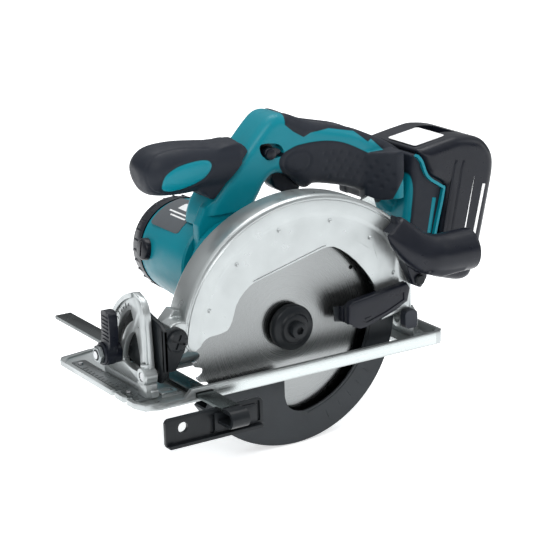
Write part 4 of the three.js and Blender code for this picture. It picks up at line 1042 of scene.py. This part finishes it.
def make_handle():
    whole = handle_solid()
    for name, keep, node in (("handle_near_moulding", (54.12, 140), "handle_shell_near"),
                             ("handle_far_moulding", (-20, 53.88), "handle_shell_far")):
        half = whole.copy()
        half.data = whole.data.copy()
        bpy.context.collection.objects.link(half)
        places, normals = read_mesh(half), read_mesh(half, "normal")
        distance = rubber_distance(places)
        pad = np.hypot((places[:, 0] - 36) / 11.5, (places[:, 2] - 111.5) / 8.2)
        lift = 0.55 * np.clip(-distance / 1.2, 0, 1) - 0.7 * np.exp(-((pad - 1) / 0.09) ** 2)
        lift += dimple_lift(places, normals)
        outside = np.abs(places[:, 1] - GRIP_Y) > 10
        write_mesh(half, places + normals * (lift * outside)[:, None])
        cut(half, block(-120, 240, *keep, -60, 240))
        attribute = half.data.attributes.new("rubber_distance", "FLOAT", "POINT")
        attribute.data.foreach_set("value", rubber_distance(read_mesh(half)))
        finish_piece(half, name, "saw_head", two_tone, [node], sharp=48)
    bpy.data.objects.remove(whole)


make_handle()


def make_controls():
    pull = prism(smooth_line([(20, 95), (30, 86.5), (40, 84), (46, 92), (41.5, 115), (24, 115)], 4,
                             True), 47, 61, "y", 2.2, 4)
    finish_piece(pull, "trigger_moulding", "trigger", black, ["trigger"])
    knob = lathe([(0, 32.8), (3, 32.8), (4, 33.4), (4.3, 34.6), (4.3, 73.4), (4, 74.6), (3, 75.2),
                  (0, 75.2)], 12, 121, 32)
    wing = prism(smooth_line([(7, 122), (9.5, 125.5), (18, 124.5), (21, 122), (18, 119.6), (10, 119.6)],
                             4, True), 34.4, 38.2, "y", 1.2, 3)
    together(knob, wing)
    finish_piece(knob, "lock_off_knob", "lock_off", black, ["lock_off_button"])
    recess = lathe([(4.7, 42.4), (7, 42.4), (7, 42.9), (4.7, 42.9)], 12, 121, 32)
    finish_piece(recess, "lock_off_seal", "saw_head", black)


make_controls()


# ---------------------------------------------------------------- front grip
def make_front_grip():
    body = loft([(-94.2, 48, 118.5, 6, 6, 2), (-92, 48, 119, 13, 12, 2), (-86, 48, 119.6, 18, 16.5, 2.1),
                 (-77, 48, 120.2, 20.4, 18.6, 2.2), (-62, 48, 119.8, 20.6, 19.2, 2.3),
                 (-46, 48, 119, 18.6, 18.4, 2.3), (-34, 48, 118, 17.4, 18, 2.4),
                 (-14, 48, 118, 17, 17.4, 2.4)], 5, 48)
    neck = prism(smooth_line([(-52, 110), (-48, 101), (-41, 97), (-36, 94), (-20, 104), (-6, 122),
                              (-16, 134), (-40, 128)], 4, True), 34, 62, "y", 4, 3)
    together(body, neck)
    soften(body, 1.1, 6)
    cut(body, prism(smooth_line([(x - 0.5, z + 0.4) for x, z in HANDLE_TOP],
                                3) + smooth_line(HANDLE_UNDER, 3), -10, 120))
    places, normals = read_mesh(body), read_mesh(body, "normal")
    flat = places[:, [0, 2]]
    panel = [(-82.5, 112), (-80, 120), (-70, 125.3), (-55, 127), (-43.5, 125.6), (-40.6, 120.5),
             (-46, 113.6), (-56, 109.2), (-70, 106), (-79, 107)]
    distance = signed_distance(flat, smooth_line(panel, 5, True))
    lift = -0.8 * np.exp(-(distance / 0.9) ** 2) * (np.abs(normals[:, 1]) > 0.35)
    lift -= 0.35 * np.exp(-((places[:, 1] - 35.5) / 0.6) ** 2) * (places[:, 0] < -40)
    write_mesh(body, places + normals * lift[:, None])
    # Near this edge the two-tone material paints a dark band: painted shade for the panel's edge groove.
    attribute = body.data.attributes.new("rubber_distance", "FLOAT", "POINT")
    attribute.data.foreach_set("value", np.where(np.abs(normals[:, 1]) > 0.3, -distance, -9.0))
    finish_piece(body, "front_grip_moulding", "saw_head", two_tone, ["front_grip"], sharp=60)


make_front_grip()


# ---------------------------------------------------------------- motor
def curved_label(start, end, y0, y1, radius, corner, thickness=0.25):
    """A thin film wrapped on the motor, with rounded corners."""
    flat = rounded(start, end, y0, y1, corner)
    cells = 36
    bm = bmesh.new()
    span = (end - start) / cells
    for level in (0, thickness):
        columns = []
        for i in range(cells + 1):
            a = start + span * i
            hits = crossings(flat, a)
            low, high = (min(hits), max(hits)) if len(hits) > 1 else (y0 + corner, y1 - corner)
            edge = polar(radius + level, a, MOTOR_X, MOTOR_Z)
            columns.append([bm.verts.new((*edge, y)) for y in (low, high)])
        for first, second in zip(columns, columns[1:]):
            bm.faces.new((first[0], second[0], second[1], first[1]))
        if level == 0:
            lower = columns
        else:
            upper = columns
    for k in (0, 1):
        for i in range(cells):
            bm.faces.new((lower[i][k], upper[i][k], upper[i + 1][k], lower[i + 1][k]))
    for i in (0, cells):
        bm.faces.new((lower[i][0], lower[i][1], upper[i][1], upper[i][0]))
    for vert in bm.verts:
        x, z, y = vert.co
        vert.co = (x, y, z)
    return new_object(bm)


def crossings(outline, place):
    """Where a closed outline crosses a line across its first axis."""
    hits = []
    for (a0, b0), (a1, b1) in zip(outline, outline[1:] + outline[:1]):
        if (a0 - place) * (a1 - place) <= 0 and a0 != a1:
            hits.append(b0 + (b1 - b0) * (place - a0) / (a1 - a0))
    return hits


def make_motor():
    tube = lathe([(12, 47.35), (36.6, 47.35), (38, 48.6), (38.5, 60), (38.2, 90), (37.4, 104),
                  (36.5, 113.6), (33.5, 113.6), (35, 95), (35, 49.5), (12, 49.5)], MOTOR_X, MOTOR_Z, 96)
    finish_piece(tube, "motor_tube", "saw_head", teal, ["motor_housing"])
    cap = lathe([(0, 141), (19, 141), (25, 139.8), (29.5, 137.4), (32.6, 133.4), (34.2, 129),
                 (35.6, 128.4), (36.2, 124), (36.6, 123.4), (37.2, 118), (37.2, 114.4), (34, 114.4),
                 (33, 122), (30, 131), (24, 136.5), (0, 136.5)], MOTOR_X, MOTOR_Z, 96)
    holes = []
    for i in range(12):
        x, z = polar(16, i * 30, MOTOR_X, MOTOR_Z)
        holes.append(rod(2.2, 132, 144, x, z, 16, ease=0.01))
    cut(cap, *holes)
    finish_piece(cap, "motor_cap", "saw_head", black, ["motor_end_cap"])
    slats = []
    slat_count = 28
    for i in range(slat_count):
        turn = turned(i * 360 / slat_count, "Y", (MOTOR_X, 0, MOTOR_Z))
        slats.append(moved(block(34.5, 37.2, 116, 126, -0.8, 0.8, 0.4, 2), turn))
    finish_piece(together(*slats), "motor_cap_ribs", "saw_head", black)
    for i, angle in enumerate((172, 352)):
        x, z = polar(MOTOR_RADIUS, angle, MOTOR_X, MOTOR_Z)
        cover = lathe([(0, 4.2), (6.6, 4.2), (7.6, 3.6), (8.4, 2.4), (8.5, -1.5), (0, -1.5)], sides=40,
                      axis="z")
        cut(cover, block(-5.5, 5.5, -0.9, 0.9, 3, 6))
        moved(cover, turned(90 - angle, "Y", (x, 104, z)))
        finish_piece(cover, f"brush_cover_{i + 1}", "saw_head", black,
                     [f"brush_cap_{i + 1}"])
    film = curved_label(92, 142, 66, 108, MOTOR_RADIUS + 0.5, 4)
    finish_piece(film, "rating_film", "saw_head", label_grey, ["rating_plate"])
    bars = [curved_label(100, 112, 74, 92, MOTOR_RADIUS + 0.65, 0.5),
            curved_label(117, 119, 70, 98, MOTOR_RADIUS + 0.65, 0.4),
            curved_label(122, 124, 70, 92, MOTOR_RADIUS + 0.65, 0.4)]
    finish_piece(together(*bars), "rating_film_fields", "saw_head", label_white)


make_motor()


# ---------------------------------------------------------------- battery
def make_battery():
    near, far = GRIP_Y - 37.5, GRIP_Y + 37.5
    side = [(144, 32), (160, 28.5), (173, 27.5), (181, 31), (184, 40), (187, 60), (189.5, 100),
            (190, 118), (187.5, 129), (181, 137), (171, 142), (152, 142.3), (141, 139.5), (118, 131.5),
            (114, 129), (119, 122.5), (125.5, 112.3), (130.5, 108.8), (142, 104), (143.8, 100),
            (144, 69), (144, 46)]
    pack = pillow(smooth_line(side, 3, True), GRIP_Y, 37.5, 8, 1.4)
    soften(pack, 1.1, 4)
    cut(pack, block(90, 148.2, near + 4, far - 4, 20, 127.4))
    rail_body = block(140, 152, GRIP_Y - 24.5, GRIP_Y + 24.5, 54, 124, 1.5, 2)
    union(pack, rail_body)
    cut(pack, block(145, 162.5, GRIP_Y - 14.8, GRIP_Y + 14.8, 115, 144))
    finish_piece(pack, "battery_moulding", "battery", black, ["battery_case"],
                 lean=True, sharp=40)
    ribs = []
    for y0, y1 in ((near - 0.2, near + 0.6), (far - 0.6, far + 0.2)):
        for shift in (0, 7.5):
            line = [(150 + shift, 124), (149 + shift, 117), (146.5 + shift, 40), (148 + shift, 37)]
            ribs.append(strip_along(line, 2.4, y0, y1, 0.3))
    finish_piece(together(*ribs), "battery_side_ribs", "battery", black, lean=True)
    marks = [prism([(166, 58), (167.6, 58), (169.4, 112)], near - 0.15, near + 0.3, "y", 0.05, 1),
             prism([(175.5, 60), (178, 60), (181.2, 106), (178.6, 106)], near - 0.15, near + 0.3, "y",
                   0.05, 1)]
    finish_piece(together(*marks), "battery_side_bars", "battery", label_white,
                 lean=True)
    label = prism(rounded(-14.5, 14.5, -18.5, 18.5, 2.5), 0, 0.35, "z", 0.1, 1)
    slope = turned(-18.4, "Y", (131, GRIP_Y - 7, 136.4))
    finish_piece(moved(label, slope), "battery_blank_label", "battery", label_white,
                 lean=True)
    key = prism([(148.6, 119.2), (158, 119.2), (158.2, 137), (150, 134)], GRIP_Y - 14, GRIP_Y + 14, "y",
                1.2, 3)
    finish_piece(key, "battery_release_key", "battery_button", rubber, ["battery_button"],
                 lean=True)


def make_mount_details():
    """Raised teal piping, a teal bar and, for the groove, a near-black strip of painted shade on both
    sides of the battery mount.
    """
    path = smooth_line([(133, 104.5), (137, 99.5), (141, 89.5), (146, 83.7), (156, 77), (157.4, 73),
                        (150, 44.5), (148.3, 37)], 4)
    piping, groove_shade_strips = [], []
    for skin, proud in ((GRIP_Y - 32, -1), (GRIP_Y + 32, 1)):
        for line, width, height in ((path, 2.2, 4.6), ([(150.3, 68.5), (145, 41)], 3.6, 1.8)):
            ends = sorted((skin, skin + proud * height))
            piping.append(strip_along(line, width, *ends, 0.4))
        # Painted shade: the groove is drawn as a near-black strip just proud of the skin, where the
        # groove's shade falls.
        ends = sorted((skin, skin + proud * 1.3))
        groove_shade_strips.append(strip_along([(143, 77), (142, 71), (137.8, 43)], 2.6, *ends, 0.2))
    finish_piece(together(*piping), "mount_piping", "saw_head", teal)
    finish_piece(together(*groove_shade_strips), "mount_groove_shade", "saw_head", groove_shade_black)


make_battery()
make_mount_details()


# ---------------------------------------------------------------- carried-over CAD pieces
CARRIED = {ground_steel: ["sight_plate_rivet_1", "sight_plate_rivet_2", "front_bevel_pin",
                          "rear_bevel_pin", "depth_pivot_nut", "bevel_clamp_bolt", "spindle",
                          "spindle_gear", "idler_gear", "spindle_bearing", "rotor_front_bearing",
                          "rotor_rear_bearing", "depth_clamp_bolt", "trigger_spring"],
                          cast: ["rear_bevel_post", "guide_clamp_bridge"],
                          rail: ["depth_guide", "bearing_retainer"],
                          painted: ["guide_clamp_screw", "nozzle_screw", "inner_flange",
                                    "field_magnets"], rubber: ["guard_stop"],
                                    black: ["cooling_fan", "switch_body", "depth_clamp_lever",
                                            "shaft_lock_button"], teal: ["gear_housing"],
                                            copper: ["armature"], brass: ["battery_terminal"], }
for surface, nodes in CARRIED.items():
    for node in nodes:
        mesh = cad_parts[node].data
        mesh.materials.clear()
        mesh.materials.append(surface.material)


# ---------------------------------------------------------------- floor
def make_floor():
    z = cad_box[0][2] - 0.0005
    bm = bmesh.new()
    bmesh.ops.create_grid(bm, x_segments=2, y_segments=2, size=12)
    bmesh.ops.translate(bm, vec=(0, 0, z), verts=bm.verts)
    mesh = bpy.data.meshes.new("floor")
    bm.to_mesh(mesh)
    bm.free()
    floor = bpy.data.objects.new("floor", mesh)
    bpy.context.collection.objects.link(floor)
    paper = Surface("pale_paper", (0.93, 0.94, 0.95), 0.85)
    fibre = paper.noise(0.02, 3.0)
    paper.link(paper.mix(paper.spread(fibre, 0, 1), (0.925, 0.935, 0.945), (0.935, 0.945, 0.955)),
               paper.shader.inputs["Base Color"])
    paper.set("Emission Color", (1, 1, 1, 1))
    paper.set("Emission Strength", 0.62)
    mesh.materials.append(paper.material)


make_floor()
